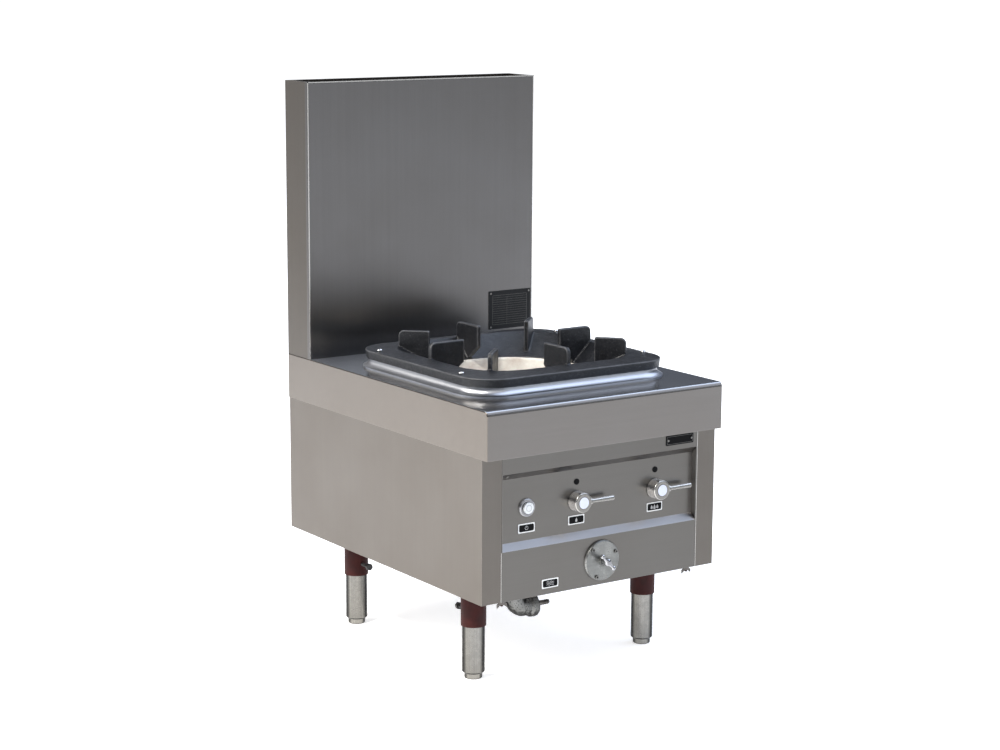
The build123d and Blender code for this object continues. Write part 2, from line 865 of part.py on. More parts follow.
with BuildPart() as pilot_burner:
    with BuildSketch(level(chamber_floor_top)):
        with Locations((pilot_x, burner_y - pilot_offset)):
            Circle(pilot_burner_radius)
    extrude(amount=pilot_burner_height)
    chamfer(pilot_burner.edges().group_by(Axis.Z)[-1], length=pilot_burner_chamfer)
    with BuildSketch(level(chamber_floor_top)):
        with Locations((pilot_x, burner_y - pilot_offset)):
            Circle(pilot_pipe_radius - sheet)
    extrude(amount=pilot_burner_height, mode=Mode.SUBTRACT)
keep(pilot_burner, "pilot_burner")

volute_y = front_y + volute_front
with BuildPart() as blower_housing:
    with BuildSketch(facing_front(volute_y)):
        with Locations((blower_x, blower_z)):
            Circle(volute_radius)
        with Locations((blower_x / 2, air_valve_height)):
            Rectangle(blower_x, outlet_height)
    extrude(amount=-volute_depth)
    with BuildSketch(facing_front(volute_y + sheet)):
        with Locations((blower_x, blower_z)):
            Circle(volute_radius - sheet)
        with Locations((blower_x / 2, air_valve_height)):
            Rectangle(blower_x, outlet_height - 2 * sheet)
    extrude(amount=-(volute_depth - 2 * sheet), mode=Mode.SUBTRACT)
    with BuildSketch(facing_front(volute_y)):
        with Locations((blower_x, blower_z)):
            Circle(volute_inlet_radius)
    extrude(amount=-sheet, mode=Mode.SUBTRACT)
    with BuildSketch(facing_front(volute_y + volute_depth - sheet)):
        with Locations((blower_x, blower_z)):
            Circle(impeller_hub_radius + seat_gap)
    extrude(amount=-sheet, mode=Mode.SUBTRACT)
    with BuildSketch(facing_front(volute_y)):
        with Locations((0, air_valve_height)):
            Circle(air_body_radius + close_fit)
    extrude(amount=-volute_depth, mode=Mode.SUBTRACT)
    foot_top = blower_z - volute_radius + sheet / 2
    with BuildSketch(level(floor_top)):
        with Locations((blower_x, volute_y + volute_depth / 2)):
            Rectangle(blower_foot_width, blower_foot_depth)
    extrude(amount=foot_top - floor_top)
keep(blower_housing, "blower_housing")

motor_y = volute_y + volute_depth
with BuildPart() as blower_motor:
    with BuildSketch(facing_front(motor_y)):
        with Locations((blower_x, blower_z)):
            Circle(motor_radius)
    extrude(amount=-motor_length)
    fillet(blower_motor.edges().group_by(Axis.Y)[-1], radius=motor_round)
    with BuildSketch(facing_front(motor_y)):
        with Locations((blower_x, blower_z)):
            Circle(motor_shaft_radius + running_fit)
    extrude(amount=-(motor_shaft_reach + seat_gap), mode=Mode.SUBTRACT)
keep(blower_motor, "blower_motor")

with BuildPart() as blower_impeller:
    impeller_back = motor_y - sheet - 2 * seat_gap
    blade_middle = impeller_radius - blade_length / 2
    with BuildSketch(facing_front(impeller_back)):
        with Locations((blower_x, blower_z)):
            Circle(impeller_radius)
    extrude(amount=impeller_disc)
    with BuildSketch(facing_front(impeller_back)):
        with Locations((blower_x, blower_z)):
            with PolarLocations(blade_middle, blade_count):
                Rectangle(blade_length, blade_thickness)
            Circle(impeller_hub_radius)
    extrude(amount=impeller_depth)
    with BuildSketch(facing_front(impeller_back)):
        with Locations((blower_x, blower_z)):
            Circle(motor_shaft_radius)
    extrude(amount=-(motor_y - impeller_back + motor_shaft_reach))
keep(blower_impeller, "blower_impeller")

# ================================================================ gas train
with BuildPart() as gas_manifold:
    manifold_end = main_x + manifold_overrun
    for radius, mode in ((manifold_radius, Mode.ADD), (manifold_radius - manifold_wall, Mode.SUBTRACT)):
        with BuildSketch(facing_right(inlet_x)):
            with Locations((manifold_y, knob_height)):
                Circle(radius)
        extrude(amount=manifold_end - inlet_x - (manifold_wall if mode == Mode.SUBTRACT else 0), mode=mode)
        with BuildSketch(level(knob_height)):
            with Locations((inlet_x, manifold_y)):
                Circle(radius)
        extrude(amount=-(knob_height - elbow_top + elbow_bead_length), mode=mode)
    with BuildSketch(facing_front(manifold_y)):
        with Locations((pilot_x, knob_height), (main_x, knob_height)):
            Circle(valve_stub_radius + close_fit)
    extrude(amount=manifold_radius, mode=Mode.SUBTRACT)
keep(gas_manifold, "gas_manifold")

elbow_path = pipe_path(
    (inlet_x, manifold_y, elbow_top),
    (inlet_x, manifold_y, inlet_height),
    (inlet_x + elbow_reach, manifold_y, inlet_height),
    bend=elbow_bend,
)
elbow_end = inlet_x + elbow_reach
with BuildPart() as gas_elbow:
    add(pipe(elbow_path, elbow_radius))
    with BuildSketch(level(elbow_top)):
        with Locations((inlet_x, manifold_y)):
            Circle(elbow_bead_radius)
    extrude(amount=-(elbow_top - floor_top - seat_gap))
    with BuildSketch(facing_right(elbow_end)):
        with Locations((manifold_y, inlet_height)):
            Circle(elbow_bead_radius)
    extrude(amount=-elbow_bead_length)
    fillet(gas_elbow.edges().filter_by(GeomType.CIRCLE).group_by(Axis.X)[-1], radius=elbow_bead_round)
    add(pipe(elbow_path, manifold_radius - manifold_wall), mode=Mode.SUBTRACT)
    with BuildSketch(level(elbow_top)):
        with Locations((inlet_x, manifold_y)):
            Circle(manifold_radius + close_fit)
    extrude(amount=-elbow_bead_length, mode=Mode.SUBTRACT)
    with BuildSketch(facing_right(elbow_end)):
        with Locations((manifold_y, inlet_height)):
            Circle(nipple_plug_radius + close_fit)
    extrude(amount=-nipple_plug_length, mode=Mode.SUBTRACT)
keep(gas_elbow, "gas_elbow")

with BuildPart() as hose_nipple:
    with BuildSketch(facing_right(elbow_end)):
        with Locations((manifold_y, inlet_height)):
            Circle(nipple_plug_radius)
    extrude(amount=-nipple_plug_length)
    with BuildSketch(facing_right(elbow_end)):
        with Locations((manifold_y, inlet_height)):
            Circle(nipple_radius)
    extrude(amount=nipple_reach)
    with BuildSketch(facing_right(elbow_end - nipple_plug_length)):
        with Locations((manifold_y, inlet_height)):
            Circle(nipple_bore)
    extrude(amount=nipple_plug_length + nipple_reach, mode=Mode.SUBTRACT)
keep(hose_nipple, "hose_nipple")


def gas_valve(x):
    """Plug valve: a square body with a round bonnet in front and a threaded stub into the manifold."""
    bonnet_y = recess_y + sheet + seat_gap
    with BuildPart() as valve:
        with BuildSketch(facing_front(front_y + valve_front)):
            with Locations((x, knob_height)):
                Rectangle(valve_size, valve_size)
        extrude(amount=-(manifold_y - manifold_radius - front_y - valve_front))
        chamfer(valve.edges().filter_by(Axis.Y), length=valve_chamfer)
        with BuildSketch(facing_front(bonnet_y)):
            with Locations((x, knob_height)):
                Circle(valve_bonnet_radius)
        extrude(amount=-(front_y + valve_front - bonnet_y))
        with BuildSketch(facing_front(manifold_y - manifold_radius)):
            with Locations((x, knob_height)):
                Circle(valve_stub_radius)
        extrude(amount=-manifold_wall)
        with BuildSketch(facing_front(bonnet_y)):
            with Locations((x, knob_height)):
                Circle(spindle_radius + running_fit)
        extrude(amount=-(spindle_end - bonnet_y + seat_gap), mode=Mode.SUBTRACT)
    return valve


keep(gas_valve(pilot_x), "pilot_valve")
keep(gas_valve(main_x), "main_valve")


# ================================================================ knobs and push button
def knob(x):
    """Turned knob with a blind spindle hole, a cap seat in front and a boss for its lever on the right."""
    with BuildPart() as turned:
        with BuildSketch(facing_front(knob_back)):
            with Locations((x, knob_height)):
                Circle(knob_radius)
        extrude(amount=knob_length)
        fillet(turned.edges().group_by(Axis.Y)[0], radius=knob_round)
        with BuildSketch(facing_right(x)):
            with Locations((lever_y, knob_height)):
                Circle(knob_boss_radius)
        extrude(amount=knob_boss_reach)
        with BuildSketch(facing_front(knob_back)):
            with Locations((x, knob_height)):
                Circle(spindle_radius + close_fit)
        extrude(amount=knob_back - spindle_front_y, mode=Mode.SUBTRACT)
        with BuildSketch(facing_front(knob_front)):
            with Locations((x, knob_height)):
                Circle(cap_radius + close_fit)
        extrude(amount=-(cap_depth - cap_proud), mode=Mode.SUBTRACT)
        with BuildSketch(facing_right(x + knob_boss_reach)):
            with Locations((lever_y, knob_height)):
                Circle(lever_stem_radius + close_fit)
        extrude(amount=-lever_stem_depth, mode=Mode.SUBTRACT)
    return turned


def lever(x):
    """Conical lever, wider at its rounded tip, with a stem that screws into the knob's boss."""
    with BuildPart() as rod:
        with BuildSketch(facing_right(x + knob_boss_reach)):
            with Locations((lever_y, knob_height)):
                Circle(lever_root_radius)
        with BuildSketch(facing_right(x + lever_reach)):
            with Locations((lever_y, knob_height)):
                Circle(lever_tip_radius)
        loft()
        fillet(rod.edges().group_by(Axis.X)[-1], radius=lever_tip_round)
        with BuildSketch(facing_right(x + knob_boss_reach)):
            with Locations((lever_y, knob_height)):
                Circle(lever_stem_radius)
        extrude(amount=-(lever_stem_depth - seat_gap))
    return rod


def knob_cap(x):
    """White disc set into the front of a knob."""
    with BuildPart() as disc:
        with BuildSketch(facing_front(knob_front - cap_proud)):
            with Locations((x, knob_height)):
                Circle(cap_radius)
        extrude(amount=-cap_depth)
        fillet(disc.edges().group_by(Axis.Y)[0], radius=cap_proud / 2)
    return disc


def valve_spindle(x):
    """Round spindle that turns in the valve and carries the knob."""
    with BuildPart() as rod:
        with BuildSketch(facing_front(spindle_front_y)):
            with Locations((x, knob_height)):
                Circle(spindle_radius)
        extrude(amount=-spindle_length)
    return rod


for control, x in (("pilot", pilot_x), ("main", main_x)):
    keep(knob(x), f"{control}_knob")
    keep(lever(x), f"{control}_lever")
    keep(knob_cap(x), f"{control}_cap")
    keep(valve_spindle(x), f"{control}_spindle")

with BuildPart() as button_bezel:
    with BuildSketch(facing_front(recess_y)):
        with Locations((button_x, button_height)):
            Circle(bezel_radius)
    extrude(amount=bezel_thickness)
    fillet(button_bezel.edges().group_by(Axis.Y)[0], radius=bezel_thickness / 2)
    with BuildSketch(facing_front(recess_y)):
        with Locations((button_x, button_height)):
            Circle(switch_radius)
    extrude(amount=-switch_depth)
    with BuildSketch(facing_front(button_y)):
        with Locations((button_x, button_height)):
            Circle(button_radius + running_fit)
    extrude(amount=-(button_length + button_travel + seat_gap), mode=Mode.SUBTRACT)
keep(button_bezel, "button_bezel")

with BuildPart() as power_button:
    with BuildSketch(facing_front(button_y)):
        with Locations((button_x, button_height)):
            Circle(button_radius)
    extrude(amount=-button_length)
    fillet(power_button.edges().group_by(Axis.Y)[0], radius=button_round)
keep(power_button, "power_button")

with BuildPart() as index_plugs:
    with BuildSketch(facing_front(recess_y)):
        with Locations((pilot_x, plug_height), (main_x, plug_height)):
            Circle(plug_radius)
    extrude(amount=plug_proud)
    with BuildSketch(facing_front(recess_y)):
        with Locations((pilot_x, plug_height), (main_x, plug_height)):
            Circle(plug_stem)
    extrude(amount=-2 * sheet)
keep(index_plugs, "index_plugs")

# ================================================================ labels and plates
with BuildPart() as label_plates:
    with BuildSketch(facing_front(recess_y)):
        with Locations((button_x, label_row), (pilot_x, label_row), (main_x, label_row)):
            RectangleRounded(label_width, label_height, label_corner)
    extrude(amount=label_thickness)
    with BuildSketch(facing_front(body_y)):
        with Locations((inlet_label_x, inlet_label_height)):
            RectangleRounded(label_width, label_height, label_corner)
    extrude(amount=label_thickness)
keep(label_plates, "label_plates")

with BuildPart() as name_plate:
    with BuildSketch(facing_front(body_y)):
        with Locations((name_plate_x, name_plate_height)):
            RectangleRounded(*name_plate_size, plate_corner)
    extrude(amount=plate_thickness)
keep(name_plate, "name_plate")

with BuildPart() as data_plate:
    with BuildSketch(facing_front(splash_y)):
        with Locations((data_plate_x, data_plate_height)):
            RectangleRounded(*data_plate_size, plate_corner)
    extrude(amount=plate_thickness)
keep(data_plate, "data_plate")

with BuildPart() as plate_rivets:
    with BuildSketch(facing_front(body_y - plate_thickness)):
        with Locations((name_plate_x, name_plate_height)):
            with GridLocations(name_plate_size[0] - 2 * rivet_inset, 0, 2, 1):
                Circle(rivet_radius)
    extrude(amount=rivet_proud)
    with BuildSketch(facing_front(splash_y - plate_thickness)):
        with Locations((data_plate_x, data_plate_height)):
            rivet_columns = data_plate_size[0] - 2 * rivet_inset
            rivet_rows = data_plate_size[1] - 2 * rivet_inset
            with GridLocations(rivet_columns, rivet_rows, 2, 2):
                Circle(rivet_radius)
    extrude(amount=rivet_proud)
keep(plate_rivets, "plate_rivets")

# ================================================================ flue duct and splash
duct_back = back_y - duct_rear_gap
duct_front = duct_back - duct_depth
duct_outline = [
    (burner_y + duct_start, port_low - duct_wall),
    (duct_back, port_low - duct_wall),
    (duct_back, worktop_height - sheet),
    (duct_front, worktop_height - sheet),
    (duct_front, port_low + port_height + duct_wall),
    (burner_y + duct_start, port_low + port_height + duct_wall),
]
duct_bore = [
    (burner_y, port_low),
    (duct_back - duct_wall, port_low),
    (duct_back - duct_wall, worktop_height),
    (duct_front + duct_wall, worktop_height),
    (duct_front + duct_wall, port_low + port_height),
    (burner_y, port_low + port_height),
]
with BuildPart() as flue_duct:
    with BuildSketch(facing_right(0)):
        with BuildLine():
            Polyline(*duct_outline, close=True)
        make_face()
    extrude(amount=port_width / 2 + duct_wall, both=True)
    with BuildSketch(facing_right(0)):
        with BuildLine():
            Polyline(*duct_bore, close=True)
        make_face()
    extrude(amount=port_width / 2, both=True, mode=Mode.SUBTRACT)
    with BuildSketch(level(chamber_floor_height)):
        with Locations((0, burner_y)):
            Circle(shell_outer + seat_gap)
    extrude(amount=worktop_height, mode=Mode.SUBTRACT)
keep(flue_duct, "flue_duct")

with BuildPart() as splash_shell:
    shell_half = half_width - thin_sheet
    shell_front = splash_y + splash_bend + tuck
    with BuildSketch(level(worktop_height)):
        with Locations((0, (shell_front + back_y) / 2)):
            Rectangle(2 * shell_half, back_y - shell_front)
        with Locations((0, (shell_front + back_y) / 2 - thin_sheet)):
            Rectangle(2 * (shell_half - thin_sheet), back_y - shell_front, mode=Mode.SUBTRACT)
    extrude(amount=splash_height)
    with BuildSketch(level(splash_top)):
        with Locations((0, (shell_front + back_y) / 2)):
            Rectangle(2 * shell_half, back_y - shell_front)
        with Locations((0, (shell_front + back_y) / 2 - splash_hem)):
            Rectangle(2 * (shell_half - splash_hem), back_y - shell_front, mode=Mode.SUBTRACT)
    extrude(amount=-thin_sheet)
keep(splash_shell, "splash_shell")

with BuildPart() as splash_front:
    with BuildSketch(level(worktop_height)):
        with Locations((0, splash_y + splash_return / 2)):
            Rectangle(range_width, splash_return)
    extrude(amount=splash_height)
    front_faces = splash_front.faces().sort_by(Axis.Y)[0]
    front_edges = front_faces.edges().filter_by(Axis.Z) + front_faces.edges().sort_by(Axis.Z)[-1:]
    fillet(front_edges, radius=splash_bend)
    with BuildSketch(level(worktop_height)):
        with Locations((0, splash_y + thin_sheet + splash_return / 2)):
            Rectangle(2 * shell_half, splash_return)
    extrude(amount=splash_height - splash_bend, mode=Mode.SUBTRACT)
    with BuildSketch(level(splash_top)):
        with Locations((0, splash_y + splash_bend + splash_return / 2)):
            Rectangle(2 * shell_half, splash_return)
    extrude(amount=-2 * splash_bend, mode=Mode.SUBTRACT)
keep(splash_front, "splash_front")

# ================================================================ legs and feet
leg_spots = [(x, y) for y in leg_rows for x in leg_columns]
leg_names = ("front_left", "front_right", "rear_left", "rear_right")
socket_bottom = body_clearance - socket_drop
leg_top = frame_base - leg_top_gap

with BuildPart() as leg_sockets:
    with BuildSketch(level(socket_bottom)):
        with Locations(*leg_spots):
            Circle(socket_radius)
            Circle(leg_radius + close_fit, mode=Mode.SUBTRACT)
    extrude(amount=frame_base - socket_bottom)
keep(leg_sockets, "leg_sockets")

for spot, name in zip(leg_spots, leg_names):
    with BuildPart() as leg_tube:
        with BuildSketch(level(foot_height)):
            with Locations(spot):
                Circle(leg_radius)
        extrude(amount=leg_top - foot_height)
        chamfer(leg_tube.edges().group_by(Axis.Z)[0], length=leg_bevel)
        with BuildSketch(level(foot_height + leg_end_depth)):
            with Locations(spot):
                Circle(leg_radius - leg_wall)
        extrude(amount=leg_top, mode=Mode.SUBTRACT)
        with BuildSketch(level(foot_height)):
            with Locations(spot):
                Circle(foot_stem_radius + running_fit)
        extrude(amount=leg_end_depth, mode=Mode.SUBTRACT)
    keep(leg_tube, f"leg_tube_{name}")

    with BuildPart() as foot:
        with BuildSketch(level(0)):
            with Locations(spot):
                Circle(foot_radius)
        extrude(amount=foot_height - seat_gap)
        chamfer(foot.edges().group_by(Axis.Z)[0], length=foot_chamfer)
        with BuildSketch(level(0)):
            with Locations(spot):
                Circle(foot_stem_radius)
        extrude(amount=foot_height + foot_stem_length)
    keep(foot, f"foot_{name}")

with BuildPart() as leg_bolts:
    for x, y in leg_spots:
        inward = 1 if y < burner_y else -1
        socket_face = y + inward * (socket_radius - seat_gap)
        head_face = y + inward * bolt_reach
        with BuildSketch(facing_front(socket_face)):
            with Locations((x, bolt_height)):
                Circle(bolt_radius)
        extrude(amount=-inward * (bolt_reach - socket_radius + seat_gap))
        with BuildSketch(facing_front(head_face)):
            with Locations((x, bolt_height)):
                Circle(bolt_head_radius)
        extrude(amount=inward * bolt_head_length)
keep(leg_bolts, "leg_bolts")

# ================================================================ wing nuts
for side, name in ((-1, "left"), (1, "right")):
    spot = (side * stud_x, front_y + stud_setback)
    nut_top = body_clearance - seat_gap
    with BuildPart() as wing_nut:
        with BuildSketch(level(nut_top)):
            with Locations(spot):
                Circle(wing_hub_radius)
        extrude(amount=-wing_hub_length, taper=wing_thickness)
        for wing in (-1, 1):
            wing_shape = [
                (spot[0] + wing * stud_radius, nut_top - wing_thickness),
                (spot[0] + wing * wing_span / 2, nut_top - wing_drop),
                (spot[0] + wing * wing_span / 2, nut_top - wing_drop - wing_height),
                (spot[0] + wing * stud_radius, nut_top - wing_hub_length),
            ]
            with BuildSketch(facing_front(spot[1])):
                with BuildLine():
                    Polyline(*wing_shape, close=True)
                make_face()
            extrude(amount=wing_thickness / 2, both=True)
        with BuildSketch(level(nut_top)):
            with Locations(spot):
                Circle(stud_radius + running_fit)
        extrude(amount=-2 * wing_hub_length, mode=Mode.SUBTRACT)
    keep(wing_nut, f"wing_nut_{name}")

os.makedirs("parts", exist_ok=True)
for piece in pieces:
    export_step(piece, f"parts/{piece.label}.step")
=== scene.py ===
# %% [markdown]
# # A wok range, dressed for its picture
# A wok range is a steel box on four pipe legs, with one big burner sunk into its top and a tall flue box
# behind. Its working parts come from a solid model, already at their real size and place. This file gives
# each one its finish, adds the small cast, turned and pressed details, and puts a camera and a studio
# round the whole. Everything is in metres: +Z is up, the controls face -Y, and the origin lies on the
# floor under the centre.

# %% Start from an empty scene and load the fixed parts
import json
import math

import bmesh
import bpy
from mathutils import Matrix, Vector, noise

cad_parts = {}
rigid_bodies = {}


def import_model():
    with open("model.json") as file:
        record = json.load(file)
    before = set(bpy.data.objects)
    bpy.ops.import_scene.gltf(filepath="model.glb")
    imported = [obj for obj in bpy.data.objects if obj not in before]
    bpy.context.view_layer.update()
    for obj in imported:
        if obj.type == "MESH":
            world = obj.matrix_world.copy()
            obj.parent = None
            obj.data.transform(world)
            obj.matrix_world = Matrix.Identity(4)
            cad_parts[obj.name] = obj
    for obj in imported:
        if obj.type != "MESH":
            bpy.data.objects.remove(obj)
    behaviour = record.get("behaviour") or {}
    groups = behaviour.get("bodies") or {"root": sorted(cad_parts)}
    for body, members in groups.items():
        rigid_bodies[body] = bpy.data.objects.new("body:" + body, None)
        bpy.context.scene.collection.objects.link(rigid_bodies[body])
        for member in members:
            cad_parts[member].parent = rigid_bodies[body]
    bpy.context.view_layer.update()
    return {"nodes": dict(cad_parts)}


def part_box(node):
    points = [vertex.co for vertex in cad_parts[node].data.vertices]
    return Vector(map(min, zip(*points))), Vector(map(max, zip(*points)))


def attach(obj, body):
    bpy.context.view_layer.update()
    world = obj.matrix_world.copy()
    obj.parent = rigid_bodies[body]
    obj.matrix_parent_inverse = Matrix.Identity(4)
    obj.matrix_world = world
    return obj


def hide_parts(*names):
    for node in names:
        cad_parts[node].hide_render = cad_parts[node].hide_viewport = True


for leftover in list(bpy.data.objects):
    bpy.data.objects.remove(leftover)

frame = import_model()
nodes = frame["nodes"]

# %% [markdown]
# ## The camera
# The picture was taken from the range's front left, a little above the worktop, through a long lens. A
# long lens keeps the edges almost parallel, so a small error in the angle shows at once. The camera is
# therefore written as the angles and the distance of one aim point, which is easier to read than nine
# numbers of a matrix.

# %% Place the camera
IMAGE_WIDTH, IMAGE_HEIGHT = 1000, 750
AIM_POINT = Vector((0.0, 0.00475, 0.6))
AIM_PIXEL = (498.368, 366.864)
FOCAL_PIXELS = 2255.065
CAMERA_AZIMUTH, CAMERA_ELEVATION, CAMERA_ROLL = -34.462, 10.560, 0.293
CAMERA_DISTANCE = 4.9162
SENSOR_WIDTH = 36.0
FARTHEST_SEEN = 500.0


def camera_axes(azimuth, elevation, roll):
    """The camera's right, up and back directions."""
    a, e, r = (math.radians(angle) for angle in (azimuth, elevation, roll))
    back = Vector((math.sin(a) * math.cos(e), -math.cos(a) * math.cos(e), math.sin(e)))
    right = Vector((0, 0, 1)).cross(back).normalized()
    up = back.cross(right)
    return right * math.cos(r) + up * math.sin(r), up * math.cos(r) - right * math.sin(r), back


right, up, back = camera_axes(CAMERA_AZIMUTH, CAMERA_ELEVATION, CAMERA_ROLL)
metres_per_pixel = CAMERA_DISTANCE / FOCAL_PIXELS
aside = (IMAGE_WIDTH / 2 - AIM_PIXEL[0]) * metres_per_pixel
above = (AIM_PIXEL[1] - IMAGE_HEIGHT / 2) * metres_per_pixel
camera = bpy.data.objects.new("camera", bpy.data.cameras.new("camera"))
bpy.context.scene.collection.objects.link(camera)
camera.data.sensor_width = SENSOR_WIDTH
camera.data.lens = FOCAL_PIXELS * SENSOR_WIDTH / IMAGE_WIDTH
camera.data.clip_end = FARTHEST_SEEN
place = AIM_POINT + right * aside + up * above + back * CAMERA_DISTANCE
camera.matrix_world = Matrix.Translation(place) @ Matrix((right, up, back)).transposed().to_4x4()
bpy.context.scene.camera = camera
print("lens", round(camera.data.lens, 2), "mm at", [round(c, 3) for c in place])

# %% [markdown]
# ## The studio
# Brushed steel has hardly any colour of its own: it shows what stands round it. So the lamps matter more
# here than on a painted object. They copy a sunny day out of doors. A warm key and a small, hard sun on
# the left make the side wall the brightest face. A broad weak lamp lights the controls, and a big blue
# panel high on the right is the open sky. Two low panels are the bright horizon, which upright steel
# mirrors at a flat angle, and a lamp behind keeps the far edges from going dark. The world itself is a
# dim grey with a little blue, so no face mirrors pure black. Each lamp is given as a direction and a
# distance from the same aim point as the camera, because a lamp on a stand is moved round the object in
# just that way.

# %% Light the scene
WORLD_GREY = (0.12, 0.13, 0.155)
# Azimuth and elevation in degrees, distance and size in metres, power in watts, colour.
LAMPS = {
    "left_key": (-112, 34, 5.0, (3.0, 2.4), 190, (1.0, 0.955, 0.89)),
    "front_fill": (-12, 36, 9.0, (10.0, 5.0), 130, (1.0, 0.98, 0.95)),
    "sky_panel": (72, 54, 12.0, (14.0, 14.0), 1700, (0.70, 0.80, 1.0)),
    "bright_horizon": (38, 14, 12.0, (9.0, 4.0), 110, (0.84, 0.91, 1.0)),
    "left_horizon": (-146, 14, 12.0, (9.0, 4.0), 110, (1.0, 0.98, 0.95)),
    "sun": (-75, 45, 6.0, (0.5, 0.5), 300, (1.0, 0.97, 0.93)),
    "back_fill": (165, 62, 6.0, (3.0, 3.0), 120, (0.96, 0.98, 1.0)),
}


def soft_lamp(name, azimuth, elevation, distance, size, power, colour):
    """A rectangular area lamp that looks at the middle of the range from a given direction."""
    direction = camera_axes(azimuth, elevation, 0)[2]
    data = bpy.data.lights.new(name, "AREA")
    data.shape = "RECTANGLE"
    data.size, data.size_y = size
    data.energy = power
    data.color = colour
    lamp = bpy.data.objects.new(name, data)
    bpy.context.scene.collection.objects.link(lamp)
    lamp.location = AIM_POINT + direction * distance
    lamp.rotation_mode = "QUATERNION"
    lamp.rotation_quaternion = direction.to_track_quat("Z", "Y")


for name, settings in LAMPS.items():
    soft_lamp(name, *settings)
world = bpy.data.worlds.new("studio")
world.use_nodes = True
world.node_tree.nodes["Background"].inputs["Color"].default_value = (*WORLD_GREY, 1)
bpy.context.scene.world = world
bpy.context.scene.view_settings.view_transform = "Standard"

# %% [markdown]
# ## Small helpers for shader trees
# A material is a tree of nodes. A tree could be built by hand in Blender's shader editor, but a script
# can be read, compared and run again. These helpers make a node and join two sockets, so that the cells
# that follow can say what a finish does and not how Blender stores it.


# %% Make and join nodes
def node(tree, kind, **settings):
    """Add a shader node and set its properties."""
    made = tree.nodes.new("ShaderNode" + kind)
    for name, value in settings.items():
        setattr(made, name, value)
    return made


def join(tree, source, target):
    """Link an output socket to an input socket, or set the input when the source is a plain value."""
    if isinstance(source, bpy.types.NodeSocket):
        tree.links.new(source, target)
    else:
        target.default_value = source


# %% Reckon with values and places
def maths(tree, operation, first, second=0.0):
    """One arithmetic node; either side may be a socket or a number."""
    made = node(tree, "Math", operation=operation)
    join(tree, first, made.inputs[0])
    join(tree, second, made.inputs[1])
    return made.outputs[0]


def stretch(tree, place, scale):
    """A place multiplied by a different number along each axis."""
    made = node(tree, "VectorMath", operation="MULTIPLY")
    join(tree, place, made.inputs[0])
    join(tree, scale, made.inputs[1])
    return made.outputs[0]


def clouds(tree, place, scale, detail=2.0, roughness=0.5):
    """A noise texture, as a value from 0 to 1."""
    made = node(tree, "TexNoise", noise_dimensions="3D")
    join(tree, place, made.inputs["Vector"])
    join(tree, scale, made.inputs["Scale"])
    made.inputs["Detail"].default_value = detail
    made.inputs["Roughness"].default_value = roughness
    return made.outputs["Fac"]


def remap(tree, value, low, high, to_low=0.0, to_high=1.0):
    """Spread a range of values over another range, held at both ends."""
    made = node(tree, "MapRange", clamp=True)
    for socket, source in zip(made.inputs, (value, low, high, to_low, to_high)):
        join(tree, source, socket)
    return made.outputs[0]


# Nearly all of a noise texture lies between these two values.
CLOUD_RANGE = (0.3, 0.7)


# %% Blend colours and raise bumps
def blend_colour(tree, factor, first, second, mode="MIX"):
    """Mix two colours, or multiply the first by the second, by a factor."""
    made = node(tree, "Mix", data_type="RGBA", blend_type=mode)
    join(tree, factor, made.inputs[0])
    for source, socket in ((first, made.inputs[6]), (second, made.inputs[7])):
        join(tree, (*source, 1) if isinstance(source, tuple) else source, socket)
    return made.outputs[2]


def scaled(colour, factor):
    """A colour made darker or lighter, and never above full."""
    return tuple(min(1.0, channel * factor) for channel in colour)


def bump(tree, height, depth, below=None):
    """Turn a height in 0 to 1 into a normal; depth is the height's real size in metres."""
    made = node(tree, "Bump")
    made.inputs["Distance"].default_value = 1.0
    made.inputs["Strength"].default_value = 1.0
    join(tree, maths(tree, "MULTIPLY", height, depth), made.inputs["Height"])
    if below is not None:
        join(tree, below, made.inputs["Normal"])
    return made.outputs[0]


# %% Start a group, and use one
def new_group(name, inputs, outputs):
    """An empty shader group with named sockets, and its two end nodes."""
    tree = bpy.data.node_groups.new(name, "ShaderNodeTree")
    for label, kind, value in inputs:
        socket = tree.interface.new_socket(label, in_out="INPUT", socket_type="NodeSocket" + kind)
        if value is not None:
            socket.default_value = value
    for label, kind in outputs:
        tree.interface.new_socket(label, in_out="OUTPUT", socket_type="NodeSocket" + kind)
    return tree, tree.nodes.new("NodeGroupInput").outputs, tree.nodes.new("NodeGroupOutput").inputs


def use_group(tree, group, **values):
    """Put a group in a material; an underscore in a name stands for a space in the socket's."""
    made = node(tree, "Group", node_tree=group)
    for name, value in values.items():
        join(tree, value, made.inputs[name.replace("_", " ").capitalize()])
    return made.outputs


# %% [markdown]
# ## Effects that several finishes share
# Each effect is a group: it takes a place on the object and a few numbers, and gives back masks and
# normals. The materials use the same group with their own values, so all the sheet metal is brushed
# alike, and wears alike.
#
# The first is brushed grain. A belt with grit on it leaves thousands of fine lines, and over them lie
# long pale streaks, the smudges of wiping and a slow swell, because no thin sheet is quite flat. The
# lines are a noise that is squeezed across the grain. A photograph of steel would repeat itself on a big
# sheet, and a noise doesn't.

